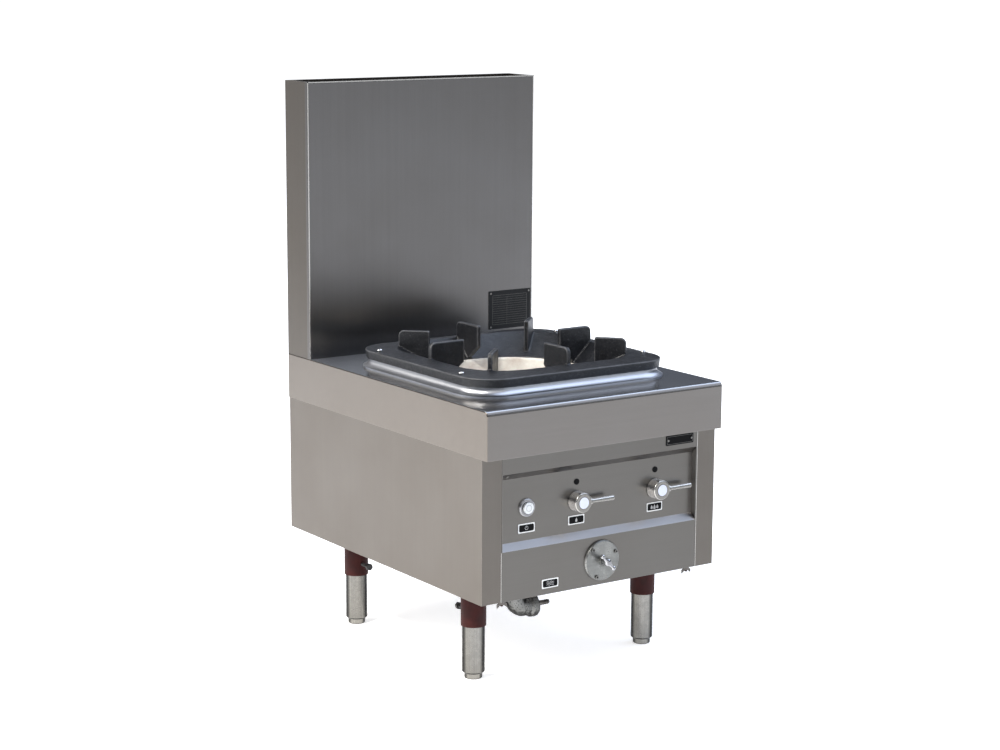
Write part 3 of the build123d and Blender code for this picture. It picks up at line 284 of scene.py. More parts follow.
# %% Brushed grain: fine lines along local Z of the place that it is given
BRUSHED, given, result = new_group(
    "Brushed grain",
    [("Place", "Vector", None), ("Lines", "Float", 900.0), ("Depth", "Float", 0.00001),
     ("Wave", "Float", 0.0004)],
    [("Streaks", "Float"), ("Smudges", "Float"), ("Normal", "Vector")],
)
ALONG_SHARE, STREAK_SCALE, SMUDGE_SCALE, SWELL_SCALE = 0.012, (70, 70, 0.9), 5.5, 2.6
FINE_SHARE = 0.45
across = node(BRUSHED, "CombineXYZ")
join(BRUSHED, given["Lines"], across.inputs[0])
join(BRUSHED, given["Lines"], across.inputs[1])
join(BRUSHED, maths(BRUSHED, "MULTIPLY", given["Lines"], ALONG_SHARE), across.inputs[2])
fine = clouds(BRUSHED, stretch(BRUSHED, given["Place"], across.outputs[0]), 1.0, 2.0, 0.6)
broad = clouds(BRUSHED, stretch(BRUSHED, given["Place"], STREAK_SCALE), 1.0, 3.0, 0.6)
fine_part = maths(BRUSHED, "MULTIPLY", fine, FINE_SHARE)
broad_part = maths(BRUSHED, "MULTIPLY", broad, 1 - FINE_SHARE)
join(BRUSHED, maths(BRUSHED, "ADD", fine_part, broad_part), result["Streaks"])
join(BRUSHED, clouds(BRUSHED, given["Place"], SMUDGE_SCALE, 4.0, 0.62), result["Smudges"])
swell_normal = bump(BRUSHED, clouds(BRUSHED, given["Place"], SWELL_SCALE, 0.0), given["Wave"])
join(BRUSHED, bump(BRUSHED, fine, given["Depth"], swell_normal), result["Normal"])
print(BRUSHED.name, "has", len(BRUSHED.nodes), "nodes")

# %% [markdown]
# ## Edge wear and highlight
# Edges that are touched and wiped every day turn bright. The Bevel node rounds edges for shading alone,
# and where its rounded normal turns away from the face's own, there is an edge. So every solid gets its
# worn edges without a mask painted by hand. A noise breaks the line up, because wear is never even. On
# the sheet metal the same mask paints a highlight along the folds, and on paint it marks chipped edges.

# %% Edge wear and highlight: a mask that is 1 on sharp outer edges and 0 on flat faces
EDGE_WEAR_AND_HIGHLIGHT, given, result = new_group(
    "Edge wear and highlight",
    [("Width", "Float", 0.001), ("Place", "Vector", None), ("Break up", "Float", 0.5)],
    [("Mask", "Float")],
)
STILL_FLAT, FULL_EDGE, WEAR_SCALE = 0.995, 0.86, 90.0
rounded = node(EDGE_WEAR_AND_HIGHLIGHT, "Bevel", samples=4)
join(EDGE_WEAR_AND_HIGHLIGHT, given["Width"], rounded.inputs["Radius"])
facing = node(EDGE_WEAR_AND_HIGHLIGHT, "NewGeometry")
turn = node(EDGE_WEAR_AND_HIGHLIGHT, "VectorMath", operation="DOT_PRODUCT")
join(EDGE_WEAR_AND_HIGHLIGHT, rounded.outputs[0], turn.inputs[0])
join(EDGE_WEAR_AND_HIGHLIGHT, facing.outputs["Normal"], turn.inputs[1])
edge = remap(EDGE_WEAR_AND_HIGHLIGHT, turn.outputs["Value"], STILL_FLAT, FULL_EDGE)
patches = remap(EDGE_WEAR_AND_HIGHLIGHT, clouds(EDGE_WEAR_AND_HIGHLIGHT, given["Place"], WEAR_SCALE, 3.0), 0.3, 0.6)
kept = maths(EDGE_WEAR_AND_HIGHLIGHT, "SUBTRACT", 1.0, maths(EDGE_WEAR_AND_HIGHLIGHT, "MULTIPLY", given["Break up"], patches))
join(EDGE_WEAR_AND_HIGHLIGHT, maths(EDGE_WEAR_AND_HIGHLIGHT, "MULTIPLY", edge, kept), result["Mask"])
print(EDGE_WEAR_AND_HIGHLIGHT.name, "has", len(EDGE_WEAR_AND_HIGHLIGHT.nodes), "nodes")

# %% [markdown]
# ## Seam shade and grime
# Grease and soot stay where a cloth can't reach: in corners, in slots and along the line where two sheets
# meet. The Ambient Occlusion node measures how closed a spot is, and its darker values become the mask.
# The mask is painted shade as well as grime: it darkens every closed spot where shade falls. It also ties
# the pieces together in the picture, because a real gap between two sheets always has its dark line.

# %% Seam shade and grime: a mask of painted shade that darkens corners, slots and the line where two pieces meet
SHADE_AND_GRIME, given, result = new_group("Seam shade and grime", [("Reach", "Float", 0.008)], [("Mask", "Float")])
OPEN_ENOUGH, FULLY_DIRTY = 0.75, 0.25
hollow = node(SHADE_AND_GRIME, "AmbientOcclusion", samples=6)
join(SHADE_AND_GRIME, given["Reach"], hollow.inputs["Distance"])
join(SHADE_AND_GRIME, remap(SHADE_AND_GRIME, hollow.outputs["AO"], OPEN_ENOUGH, FULLY_DIRTY), result["Mask"])
print(SHADE_AND_GRIME.name, "has", len(SHADE_AND_GRIME.nodes), "nodes")

# %% [markdown]
# ## Cast grain
# A sand mould leaves its grains in the skin of a casting, and fired clay and a zinc coat have the same
# kind of skin in other sizes. One fine noise is the grain itself, and a much coarser one is the patches
# in colour and gloss.

# %% Cast grain: the sandy skin of a casting, a ceramic or a zinc coat
GRAIN, given, result = new_group(
    "Cast grain",
    [("Place", "Vector", None), ("Grains", "Float", 400.0), ("Depth", "Float", 0.0003)],
    [("Grain", "Float"), ("Patches", "Float"), ("Normal", "Vector")],
)
GRAINS_IN_A_PATCH = 14.0
sand = clouds(GRAIN, given["Place"], given["Grains"], 3.0, 0.6)
join(GRAIN, sand, result["Grain"])
patch_size = maths(GRAIN, "DIVIDE", given["Grains"], GRAINS_IN_A_PATCH)
join(GRAIN, clouds(GRAIN, given["Place"], patch_size, 4.0, 0.6), result["Patches"])
join(GRAIN, bump(GRAIN, sand, given["Depth"]), result["Normal"])
print(GRAIN.name, "has", len(GRAIN.nodes), "nodes")

# %% [markdown]
# ## Painted side light
# Steel under an open sky looks different on each side that it is bent to: a slope that faces up is pale
# blue, and one that faces down is dark. The lamps give part of that. The rest would need the whole yard
# as a picture, which this scene does without, so this group multiplies a colour on the faces that look in
# one direction of the world. It is a stopgap: under another light those faces keep the tone that they
# were given for this one.

# %% Painted side light: a colour that is multiplied on the faces that look in one direction
PAINTED_SIDE_LIGHT, given, result = new_group(
    "Painted side light",
    [("Colour", "Color", None), ("Direction", "Vector", None), ("Gain", "Color", None)],
    [("Colour", "Color")],
)
TURN_STARTS, TURN_ENDS = 0.7, 0.95
looking = node(PAINTED_SIDE_LIGHT, "VectorMath", operation="DOT_PRODUCT")
join(PAINTED_SIDE_LIGHT, node(PAINTED_SIDE_LIGHT, "NewGeometry").outputs["Normal"], looking.inputs[0])
join(PAINTED_SIDE_LIGHT, given["Direction"], looking.inputs[1])
turned_there = remap(PAINTED_SIDE_LIGHT, looking.outputs["Value"], TURN_STARTS, TURN_ENDS)
toned = blend_colour(PAINTED_SIDE_LIGHT, turned_there, given["Colour"], given["Gain"], "MULTIPLY")
join(PAINTED_SIDE_LIGHT, toned, result["Colour"])
print("shared effects:", [g.name for g in bpy.data.node_groups])


# %% [markdown]
# ## Starting a material
# A material begins with one Principled shader whose plain numbers are written on its own sockets.
# Anything that changes over the surface, such as streaks in the colour or dirt in the seams, is then
# joined to it.


# %% Start a material, and turn its grain
def start_material(name, metallic=0.0, roughness=0.5, **sockets):
    """A new material: its tree, its Principled shader's inputs and the place on the object in metres."""
    material = bpy.data.materials.new(name)
    material.use_nodes = True
    tree = material.node_tree
    shader = tree.nodes["Principled BSDF"].inputs
    shader["Metallic"].default_value = metallic
    shader["Roughness"].default_value = roughness
    for label, value in sockets.items():
        shader[label.replace("_", " ")].default_value = value
    here = node(tree, "TexCoord").outputs["Object"]
    return material, tree, shader, here


def turned_place(tree, here, grain_axis):
    """The place, turned where the grain runs along X so that it runs along local Z."""
    if grain_axis == "Z":
        return here
    parts, again = node(tree, "SeparateXYZ"), node(tree, "CombineXYZ")
    join(tree, here, parts.inputs[0])
    for source, socket in zip(("Y", "Z", "X"), again.inputs):
        join(tree, parts.outputs[source], socket)
    return again.outputs[0]


# %% Change a colour for a side, and for mirrors
def side_lit(tree, colour, side_light):
    """A colour with painted light and shade on the faces that look along each given direction."""
    for direction, gain in side_light:
        colour = use_group(tree, PAINTED_SIDE_LIGHT, colour=colour, direction=direction, gain=(*gain, 1))["Colour"]
    return colour


def lent(tree, colour, mirrored):
    """A colour that is another one when it is seen in the gloss of its neighbours."""
    return blend_colour(tree, node(tree, "LightPath").outputs["Is Glossy Ray"], colour, mirrored)


# %% [markdown]
# ## The sheet metal
# A brushed sheet is a mirror that is blurred in one direction. Its tint is darker than steel's own
# colour, because here it also stands for a wide, dull yard that the sheet mirrors. Two sheets that face
# each other would then go nearly black, as each darkens the other's picture. So a sheet lends a brighter
# colour to the metal round it, which keeps corners of bright steel bright.


# %% Brush a sheet
SHEET_LINES, SHEET_ANISOTROPY = 900.0, 0.45
# The folds get a painted highlight: the sheet's tint made brighter along every sharp edge.
FOLD_WIDTH, FOLD_HIGHLIGHT_GAIN = 0.0016, 1.7
# Seams and corners get painted shade with grime: a dark colour laid on by the shade-and-grime mask.
SEAM_REACH, SEAM_SHARE, SEAM_SHADE_AND_GRIME = 0.006, 0.75, (0.035, 0.03, 0.025)
SMUDGE_RANGE, SMUDGE_SHARE, SMUDGE_TINT = (0.35, 0.75), 0.16, (0.86, 0.80, 0.72)
LENT_BY_SHEETS = (0.35, 0.34, 0.335)


def brushed_steel(name, tint, grain_axis="Z", roughness=0.3, spread=0.12, wave=0.0004, side_light=(),
                  mirrored=LENT_BY_SHEETS):
    """Stainless sheet: streaked colour and gloss along the grain, a painted highlight on the folds, and
    painted shade with grime in the seams.
    """
    material, tree, shader, here = start_material(name, metallic=1.0, roughness=roughness,
                                                  Anisotropic=SHEET_ANISOTROPY)
    along_grain = turned_place(tree, here, grain_axis)
    grain = use_group(tree, BRUSHED, place=along_grain, lines=SHEET_LINES, wave=wave)
    streaked = blend_colour(tree, grain["Streaks"], scaled(tint, 1 - spread), scaled(tint, 1 + spread))
    smudge = remap(tree, grain["Smudges"], *SMUDGE_RANGE, 0.0, SMUDGE_SHARE)
    smudged = blend_colour(tree, smudge, streaked, tuple(c * s for c, s in zip(tint, SMUDGE_TINT)))
    # Painted highlight: the edge mask lightens the folds where they would catch the light.
    edge_wear_and_highlight = use_group(tree, EDGE_WEAR_AND_HIGHLIGHT, width=FOLD_WIDTH, place=here, break_up=0.2)
    fold_highlighted = blend_colour(tree, edge_wear_and_highlight["Mask"], smudged, scaled(tint, FOLD_HIGHLIGHT_GAIN))
    # Painted shade with grime in the seams.
    seam_shade = maths(tree, "MULTIPLY", use_group(tree, SHADE_AND_GRIME, reach=SEAM_REACH)["Mask"], SEAM_SHARE)
    seam_shaded = blend_colour(tree, seam_shade, fold_highlighted, SEAM_SHADE_AND_GRIME)
    join(tree, lent(tree, side_lit(tree, seam_shaded, side_light), mirrored), shader["Base Color"])
    gloss = remap(tree, grain["Smudges"], *CLOUD_RANGE, roughness - 0.02, roughness + 0.04)
    streaky = maths(tree, "MULTIPLY", grain["Streaks"], 0.06)
    join(tree, maths(tree, "ADD", gloss, streaky), shader["Roughness"])
    join(tree, grain["Normal"], shader["Normal"])
    return material


# %% [markdown]
# ## Which way the sheets are brushed
# The cabinet is folded from brushed stainless sheet. On the walls and the splash the grain runs upwards,
# and on the worktop and the front panel it runs from side to side, because the sheets were laid that way
# when they were folded. Each sheet gets its own tint, and the outer sheets' tints are painted light: the
# same steel is set lighter on the sunlit side walls and darker on the shaded front, and it looks warm
# over sunlit ground and cool under a clear sky. The painted side light says how the front's two slopes,
# the worktop's flat top and its apron differ from the sheet's own tint: the lower slope and the flat top
# get a painted reflection of the pale sky, and the upper slope, the apron and the side walls' front faces
# get painted shade.

# %% Finish the sheet metal
TO_THE_FRONT, UPWARDS = (0, -1, 0), (0, 0, 1)
UPPER_SLOPE, LOWER_SLOPE = (0, -0.72, -0.694), (0, -0.72, 0.694)
# Painted light: the side walls' tint is set for their sunlit side, with painted shade on the faces that look
# to the front.
side_steel = brushed_steel("side_steel", (0.157, 0.142, 0.126), roughness=0.36, spread=0.09,
                           side_light=[(TO_THE_FRONT, (0.76, 0.77, 0.78))])
box_steel = brushed_steel("box_steel", (0.110, 0.099, 0.087), roughness=0.36)
# Painted light: a darker tint for the shaded front, a painted sky reflection on the lower slope and painted
# shade on the upper.
front_steel = brushed_steel("front_steel", (0.104, 0.099, 0.091), "X", roughness=0.27, spread=0.07,
                            side_light=[(LOWER_SLOPE, (1.9, 1.95, 2.1)), (UPPER_SLOPE, (0.6, 0.57, 0.55))])
splash_steel = brushed_steel("splash_steel", (0.121, 0.117, 0.114), roughness=0.28, wave=0.0012)
# Painted light: a painted pale blue sky reflection on the flat top, and a little painted shade on the apron.
top_steel = brushed_steel("top_steel", (0.156, 0.140, 0.124), "X", roughness=0.16,
                          side_light=[(UPWARDS, (3.2, 3.7, 4.4)), (TO_THE_FRONT, (0.90, 0.94, 0.99))],
                          mirrored=(0.50, 0.53, 0.58))
ring_steel = brushed_steel("ring_steel", (0.44, 0.455, 0.49), "X", roughness=0.29, spread=0.08, wave=0.0006)
# Painted highlight: the hems' tint is much brighter than the sheets'.
hem_highlight_steel = brushed_steel("hem_highlight_steel", (0.36, 0.35, 0.33), roughness=0.24)
inner_steel = brushed_steel("inner_steel", (0.33, 0.33, 0.33), roughness=0.42)
print("sheet metal:", [m.name for m in bpy.data.materials if m.name.endswith("_steel")])


# %% Dress the sheets
dressed = []


def dress(material, *names):
    """Give parts of the model a material."""
    for name in names:
        data = nodes[name].data
        data.materials.clear()
        data.materials.append(material)
        dressed.append(name)


dress(side_steel, "left_side_panel", "right_side_panel")
dress(box_steel, "splash_shell", "rear_panel")
dress(front_steel, "front_panel")
dress(splash_steel, "splash_front")
dress(top_steel, "worktop")
dress(ring_steel, "drip_ring")
dress(inner_steel, "floor_pan", "chamber_shell", "flue_duct", "air_pipe", "air_shutter", "blower_housing",
      "blower_impeller")
print("dressed:", len(dressed), "parts so far")


# %% [markdown]
# ## Castings
# The square top, the burner and the fire ring come out of sand or clay moulds. Such a skin is never flat:
# it has sandy grain, soft patches, and paler edges where pans have rubbed it; those pale edges are also a
# painted highlight, and the hollows get painted shade. Pointiness, which Blender works out from the mesh
# itself, finds those edges even where they are round, so it is used here in place of the sharp-edge mask.


# %% Mould a skin
DARK_PATCH, PALE_PATCH = 0.72, 1.25
SPECK_RANGE, SPECK_SHARE = (0.58, 0.75), 0.3
# Pale edges: partly rubbed, partly a painted highlight.
ROUND_EDGE, EDGE_PATCH_RANGE, EDGE_SHARES = (0.515, 0.60), (0.25, 0.6), (0.35, 0.9)
# Hollows get painted shade.
HOLLOW_REACH, HOLLOW_SHARE, HOLLOW_SHADE = 0.01, 0.6, 0.35


def casting(name, colour, pale_colour, roughness, grains=700.0, depth=0.0004, **sockets):
    """A moulded skin: grain in the height, patches in colour and gloss, rubbed edges that are also a painted
    highlight, and painted shade in hollows.
    """
    material, tree, shader, here = start_material(name, roughness=roughness, **sockets)
    skin = use_group(tree, GRAIN, place=here, grains=grains, depth=depth)
    mottled = blend_colour(tree, remap(tree, skin["Patches"], *CLOUD_RANGE), scaled(colour, DARK_PATCH),
                           scaled(colour, PALE_PATCH))
    specks = remap(tree, skin["Grain"], *SPECK_RANGE, 0.0, SPECK_SHARE)
    speckled = blend_colour(tree, specks, mottled, pale_colour)
    pointed = node(tree, "NewGeometry").outputs["Pointiness"]
    # Painted highlight with wear: the pale colour on round edges.
    edge_wear_and_highlight = maths(tree, "MULTIPLY", remap(tree, pointed, *ROUND_EDGE),
                 remap(tree, skin["Patches"], *EDGE_PATCH_RANGE, *EDGE_SHARES))
    rubbed_and_lit_edges = blend_colour(tree, edge_wear_and_highlight, speckled, pale_colour)
    # Painted shade in the hollows.
    hollow = maths(tree, "MULTIPLY", use_group(tree, SHADE_AND_GRIME, reach=HOLLOW_REACH)["Mask"], HOLLOW_SHARE)
    join(tree, blend_colour(tree, hollow, rubbed_and_lit_edges, scaled(colour, HOLLOW_SHADE)), shader["Base Color"])
    gloss = remap(tree, skin["Patches"], *CLOUD_RANGE, roughness - 0.07, roughness + 0.1)
    join(tree, gloss, shader["Roughness"])
    join(tree, skin["Normal"], shader["Normal"])
    return material


# %% Finish the castings
cast_iron = casting("cast_iron", (0.008, 0.0088, 0.011), (0.22, 0.225, 0.24), 0.36, 430.0, 0.0007,
                    Specular_IOR_Level=0.34)
burner_iron = casting("burner_iron", (0.05, 0.043, 0.038), (0.22, 0.15, 0.10), 0.62, depth=0.0003)
refractory = casting("refractory", (0.96, 0.84, 0.74), (0.97, 0.91, 0.85), 0.85, 260.0, 0.0009)
dress(burner_iron, "burner_head", "pilot_burner")
print("castings:", [m.name for m in (cast_iron, burner_iron, refractory)])

# %% [markdown]
# ## Painted and plastic parts
# Paint and plastic are a colour under a thin clear skin, so one shader does for both, and the print on a
# label is the same again. Paint also wears off: something paler shows on its sharpest edges, so a worn
# colour may be given. Every one has some unevenness, because a perfectly even part looks like a drawing.


# %% Paint a part
# Corners get painted shade with grime.
PAINT_GRAINS, CORNER_REACH, CORNER_SHARE, CORNER_SHADE = 500.0, 0.004, 0.55, 0.35
CHIP_WIDTH, CHIP_SHARE = 0.0008, 0.7


def paint(name, colour, roughness, worn_colour=None, mottle=0.15, depth=0.00006, **sockets):
    """Paint or plastic: an even colour that is slightly mottled, with painted shade and grime in corners and
    rubbed edges.
    """
    material, tree, shader, here = start_material(name, roughness=roughness, **sockets)
    skin = use_group(tree, GRAIN, place=here, grains=PAINT_GRAINS, depth=depth)
    mixed = blend_colour(tree, remap(tree, skin["Patches"], *CLOUD_RANGE), scaled(colour, 1 - mottle),
                         scaled(colour, 1 + mottle))
    # Painted shade with grime in corners.
    corner = maths(tree, "MULTIPLY", use_group(tree, SHADE_AND_GRIME, reach=CORNER_REACH)["Mask"], CORNER_SHARE)
    mixed = blend_colour(tree, corner, mixed, scaled(colour, CORNER_SHADE))
    if worn_colour:
        edge_wear_and_highlight = use_group(tree, EDGE_WEAR_AND_HIGHLIGHT, width=CHIP_WIDTH, place=here, break_up=0.8)
        mixed = blend_colour(tree, maths(tree, "MULTIPLY", edge_wear_and_highlight["Mask"], CHIP_SHARE), mixed, worn_colour)
    join(tree, mixed, shader["Base Color"])
    gloss = remap(tree, skin["Patches"], *CLOUD_RANGE, roughness - 0.06, roughness + 0.08)
    join(tree, gloss, shader["Roughness"])
    join(tree, skin["Normal"], shader["Normal"])
    return material


# %% Mix the paints and plastics
primer = paint("primer", (0.042, 0.009, 0.008), 0.6, (0.22, 0.09, 0.07), mottle=0.3, depth=0.00012,
               Specular_IOR_Level=0.2)
motor_paint = paint("motor_paint", (0.05, 0.07, 0.09), 0.45, (0.2, 0.2, 0.2))
white_plastic = paint("white_plastic", (0.74, 0.77, 0.86), 0.3, mottle=0.04)
lens_white = paint("lens_white", (0.84, 0.86, 0.85), 0.3, mottle=0.06)
black_plastic = paint("black_plastic", (0.004, 0.004, 0.0045), 0.45, Specular_IOR_Level=0.06)
label_rim = paint("label_rim", (0.90, 0.90, 0.87), 0.4, mottle=0.05)
label_black = paint("label_black", (0.004, 0.004, 0.0045), 0.45, mottle=0.3, Specular_IOR_Level=0.06)
plate_black = paint("plate_black", (0.010, 0.0105, 0.011), 0.42, (0.2, 0.2, 0.2), mottle=0.3,
                    Specular_IOR_Level=0.15)
print_grey = paint("print_grey", (0.42, 0.42, 0.41), 0.5, mottle=0.3)
plate_print = paint("plate_print", (0.085, 0.083, 0.075), 0.5, mottle=0.4)
black_bolt = paint("black_bolt", (0.016, 0.015, 0.015), 0.38, (0.12, 0.11, 0.10), mottle=0.3)
print("materials with the paints:", len(bpy.data.materials))

# %% [markdown]
# ## Plated and bare metal
# Chrome, zinc and a drawn pipe are the same shader with other numbers. Streaks come from drawing or
# turning, and pits from a rough coat. A pipe mirrors the dark ground on its flanks, so a finish may also
# have a dark rim, which Layer Weight finds: it knows how far a surface is turned away from the one who
# looks. The rim follows the view, and a baked model may lose it, so it is a stopgap too, and best kept to
# narrow round parts.


# %% Draw, turn or plate a metal
DRAWN_DEPTH, PIT_DEPTH = 0.000006, 0.0004
BLOTCH_RANGE, BLOTCH_SHADE = (0.35, 0.7), 0.62
PIT_RANGE, PIT_SHARE, PIT_SHADE = (0.46, 0.36), 0.85, 0.15
# Small metal parts get painted shade with grime in their corners.
METAL_SHADE_AND_GRIME, METAL_SHADE_AND_GRIME_SHARE = (0.03, 0.027, 0.023), 0.7
BLACK, FLANK = (0.0, 0.0, 0.0), (0.22, 0.46)


def bare_metal(name, tint, roughness, grain_axis="Z", spread=0.1, lines=700.0, grains=900.0, pits=0.0,
               rim=0.0, side_light=(), mirrored=None):
    """Turned, plated or drawn metal; pits is how much a coat's pits show, rim how dark its flanks are."""
    material, tree, shader, here = start_material(name, metallic=1.0, roughness=roughness)
    drawn = use_group(tree, BRUSHED, place=turned_place(tree, here, grain_axis), lines=lines,
                      depth=DRAWN_DEPTH, wave=0.0)
    coat = use_group(tree, GRAIN, place=here, grains=grains, depth=PIT_DEPTH * pits)
    streaked = blend_colour(tree, drawn["Streaks"], scaled(tint, 1 - spread), scaled(tint, 1 + spread))
    blotch = maths(tree, "MULTIPLY", remap(tree, coat["Patches"], *BLOTCH_RANGE), 0.25 + 0.6 * pits)
    colour = blend_colour(tree, blotch, streaked, scaled(tint, BLOTCH_SHADE))
    if pits:
        specks = remap(tree, coat["Grain"], *PIT_RANGE, 0.0, PIT_SHARE * pits)
        colour = blend_colour(tree, specks, colour, scaled(tint, PIT_SHADE))
    # Painted shade with grime in corners.
    shade_and_grime = maths(tree, "MULTIPLY", use_group(tree, SHADE_AND_GRIME, reach=CORNER_REACH)["Mask"], METAL_SHADE_AND_GRIME_SHARE)
    colour = side_lit(tree, blend_colour(tree, shade_and_grime, colour, METAL_SHADE_AND_GRIME), side_light)
    if rim:
        flank = remap(tree, node(tree, "LayerWeight").outputs["Facing"], *FLANK, 0.0, rim)
        colour = blend_colour(tree, flank, colour, BLACK)
    if mirrored:
        colour = lent(tree, colour, mirrored)
    join(tree, colour, shader["Base Color"])
    gloss = remap(tree, coat["Patches"], *CLOUD_RANGE, roughness - 0.04, roughness + 0.1 + 0.15 * pits)
    join(tree, gloss, shader["Roughness"])
    join(tree, coat["Normal"] if pits else drawn["Normal"], shader["Normal"])
    return material


# %% Finish the small metal parts
DOWNWARDS, TO_THE_LEFT, TO_THE_RIGHT = (0, 0, -1), (-1, 0, 0), (1, 0, 0)
# Chrome: painted shade on its faces that look to the front and down.
chrome = bare_metal("chrome", (0.50, 0.50, 0.505), 0.12, spread=0.04,
                    side_light=[(TO_THE_FRONT, (0.45, 0.45, 0.46)), (DOWNWARDS, (0.35, 0.35, 0.35))])
# The flange's left rim gets a painted highlight.
satin_plate = bare_metal("satin_plate", (0.185, 0.187, 0.178), 0.26, "X", spread=0.4, lines=300.0, pits=0.3,
                         side_light=[(TO_THE_LEFT, (3.8, 3.8, 3.8))])
# Knobs: painted shade on the faces that look to the front, down and to the right, and a near-white painted
# reflection where the panel mirrors them.
knob_metal = bare_metal("knob_metal", (0.58, 0.56, 0.52), 0.22, "X", lines=1500.0,
                        side_light=[(TO_THE_FRONT, (0.32, 0.32, 0.32)), (DOWNWARDS, (0.40, 0.39, 0.37)),
                               (TO_THE_RIGHT, (0.55, 0.54, 0.52))], mirrored=(0.98, 0.96, 0.93))
bright_screw = bare_metal("bright_screw", (0.80, 0.80, 0.80), 0.2)
dark_screw = bare_metal("dark_screw", (0.17, 0.165, 0.155), 0.3)
leg_steel = bare_metal("leg_steel", (0.235, 0.228, 0.21), 0.24, spread=0.55, lines=420.0, rim=0.96)
foot_steel = bare_metal("foot_steel", (0.30, 0.29, 0.265), 0.28, spread=0.4, rim=0.85)
galvanised = bare_metal("galvanised", (0.21, 0.21, 0.20), 0.40, spread=0.2, grains=420.0, pits=1.0, rim=0.85)
dark_steel = bare_metal("dark_steel", (0.13, 0.12, 0.11), 0.42, spread=0.2)
gas_brass = bare_metal("gas_brass", (0.62, 0.45, 0.20), 0.34)
gas_steel = bare_metal("gas_steel", (0.24, 0.22, 0.20), 0.42, spread=0.2)
print("materials:", len(bpy.data.materials))

# %% [markdown]
# ## Dressing the small parts
# Each part gets its finish by name. The parts that are left over are the ones that pieces made further
# down stand for, so the print below is also a list of what is still to be made.

# %% Dress the small parts
CORNERS = [f"{end}_{side}" for end in ("front", "rear") for side in ("left", "right")]
dress(primer, "leg_sockets", "base_frame")
dress(leg_steel, *(f"leg_tube_{corner}" for corner in CORNERS))
dress(foot_steel, *(f"foot_{corner}" for corner in CORNERS))
dress(bright_screw, "top_screws")
dress(dark_screw, "plate_rivets")
dress(satin_plate, "air_valve_body")
dress(chrome, "air_spindle", "button_bezel")
dress(knob_metal, "pilot_knob", "main_knob", "pilot_lever", "main_lever")
dress(white_plastic, "pilot_cap", "main_cap")
dress(lens_white, "power_button")
dress(black_plastic, "index_plugs")
dress(label_rim, "label_plates")
dress(plate_black, "data_plate")
dress(label_black, "name_plate")
dress(gas_brass, "pilot_valve", "main_valve", "pilot_spindle", "main_spindle")
dress(gas_steel, "gas_manifold", "main_gas_pipe", "pilot_pipe")
dress(motor_paint, "blower_motor")
print("dressed:", len(dressed), "parts; to be stood for:", sorted(set(nodes) - set(dressed)))

# %% [markdown]
# ## Putting pieces in the scene
# The solid model has plain edges, and no sockets, grooves or print. What it lacks is made here, as pieces
# of their own. A piece rides on one of the model's bodies, so it moves when that body does, and it may
# stand for parts of the model, which are then hidden behind it.


# %% Put a piece in the scene
# Degrees that two faces may turn at their edge before it is drawn as a hard line.
SHARP_EDGE, SHARP_BAR_EDGE, SHARP_CAST_EDGE = 34.0, 50.0, 75.0


def add_piece(name, mesh, material, body="range_body", slot="stainless_bright", stands_for=(),
              sharp=SHARP_EDGE):
    """Show a mesh as a piece that rides on a body, and hide the parts of the model that it stands for."""
    mesh.materials.append(material)
    mesh.shade_smooth()
    mesh.set_sharp_from_angle(angle=math.radians(sharp))
    piece = bpy.data.objects.new(name, mesh)
    bpy.context.scene.collection.objects.link(piece)
    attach(piece, body)
    if stands_for:
        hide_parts(*stands_for)
    print(f"{name}: {len(mesh.polygons)} faces on {body}")


def add_shape(name, shape, *how, **more):
    """Turn a bmesh into a mesh whose faces all look outwards, and put it in the scene."""
    bmesh.ops.recalc_face_normals(shape, faces=shape.faces)
    mesh = bpy.data.meshes.new(name)
    shape.to_mesh(mesh)
    shape.free()
    add_piece(name, mesh, *how, **more)


# %% [markdown]
# ## Turned parts
# A screw, a ring and a handle are turned on a lathe, and so are their meshes: a profile of distances
# along an axis and radii is spun round that axis. Some of its rings may be hexagons, for a spanner or a
# key. A modifier could spin one profile, but a function spins many into one mesh, and makes the hexagons
# as well.


# %% Turn a profile round an axis
def hexagon_factor(angle):
    """How far a hexagon's side is from its centre at an angle, when its corners are at 1."""
    return math.cos(math.pi / 6) / math.cos(angle % (math.pi / 3) - math.pi / 6)


def turned(shape, profile, centre, axis, sides=48, flats=()):
    """Add rings of (along, radius) round an axis; flats numbers the hexagonal ones.

    A profile that ends where it starts makes a tube."""
    closed = profile[0] == profile[-1]
    profile = profile[:-1] if closed else profile
    axis = Vector(axis).normalized()
    aside = axis.orthogonal().normalized()
    upward = axis.cross(aside)
    rings = []
    for number, (along, radius) in enumerate(profile):
        middle = Vector(centre) + axis * along
        ring = []
        for step in range(sides if radius else 1):
            angle = 2 * math.pi * step / sides
            reach = radius * (hexagon_factor(angle) if number in flats else 1)
            spoke = aside * math.cos(angle) + upward * math.sin(angle)
            ring.append(shape.verts.new(middle + spoke * reach))
        rings.append(ring)
    for first, second in zip(rings, rings[1:] + rings[:1] if closed else rings[1:]):
        for step in range(sides):
            following = (step + 1) % sides
            corners = [first[step % len(first)], first[following % len(first)],
                       second[following % len(second)], second[step % len(second)]]
            shape.faces.new(list(dict.fromkeys(corners)))
    for end in () if closed else (rings[0], rings[-1]):
        if len(end) > 1:
            shape.faces.new(end)


# %% [markdown]
# ## Plates
# Print, rules, fields and hems are flat outlines with a small thickness. They all face the front, so an
# outline is written as points across and up. A second outline inside the first makes a frame of it, or a
# ring.


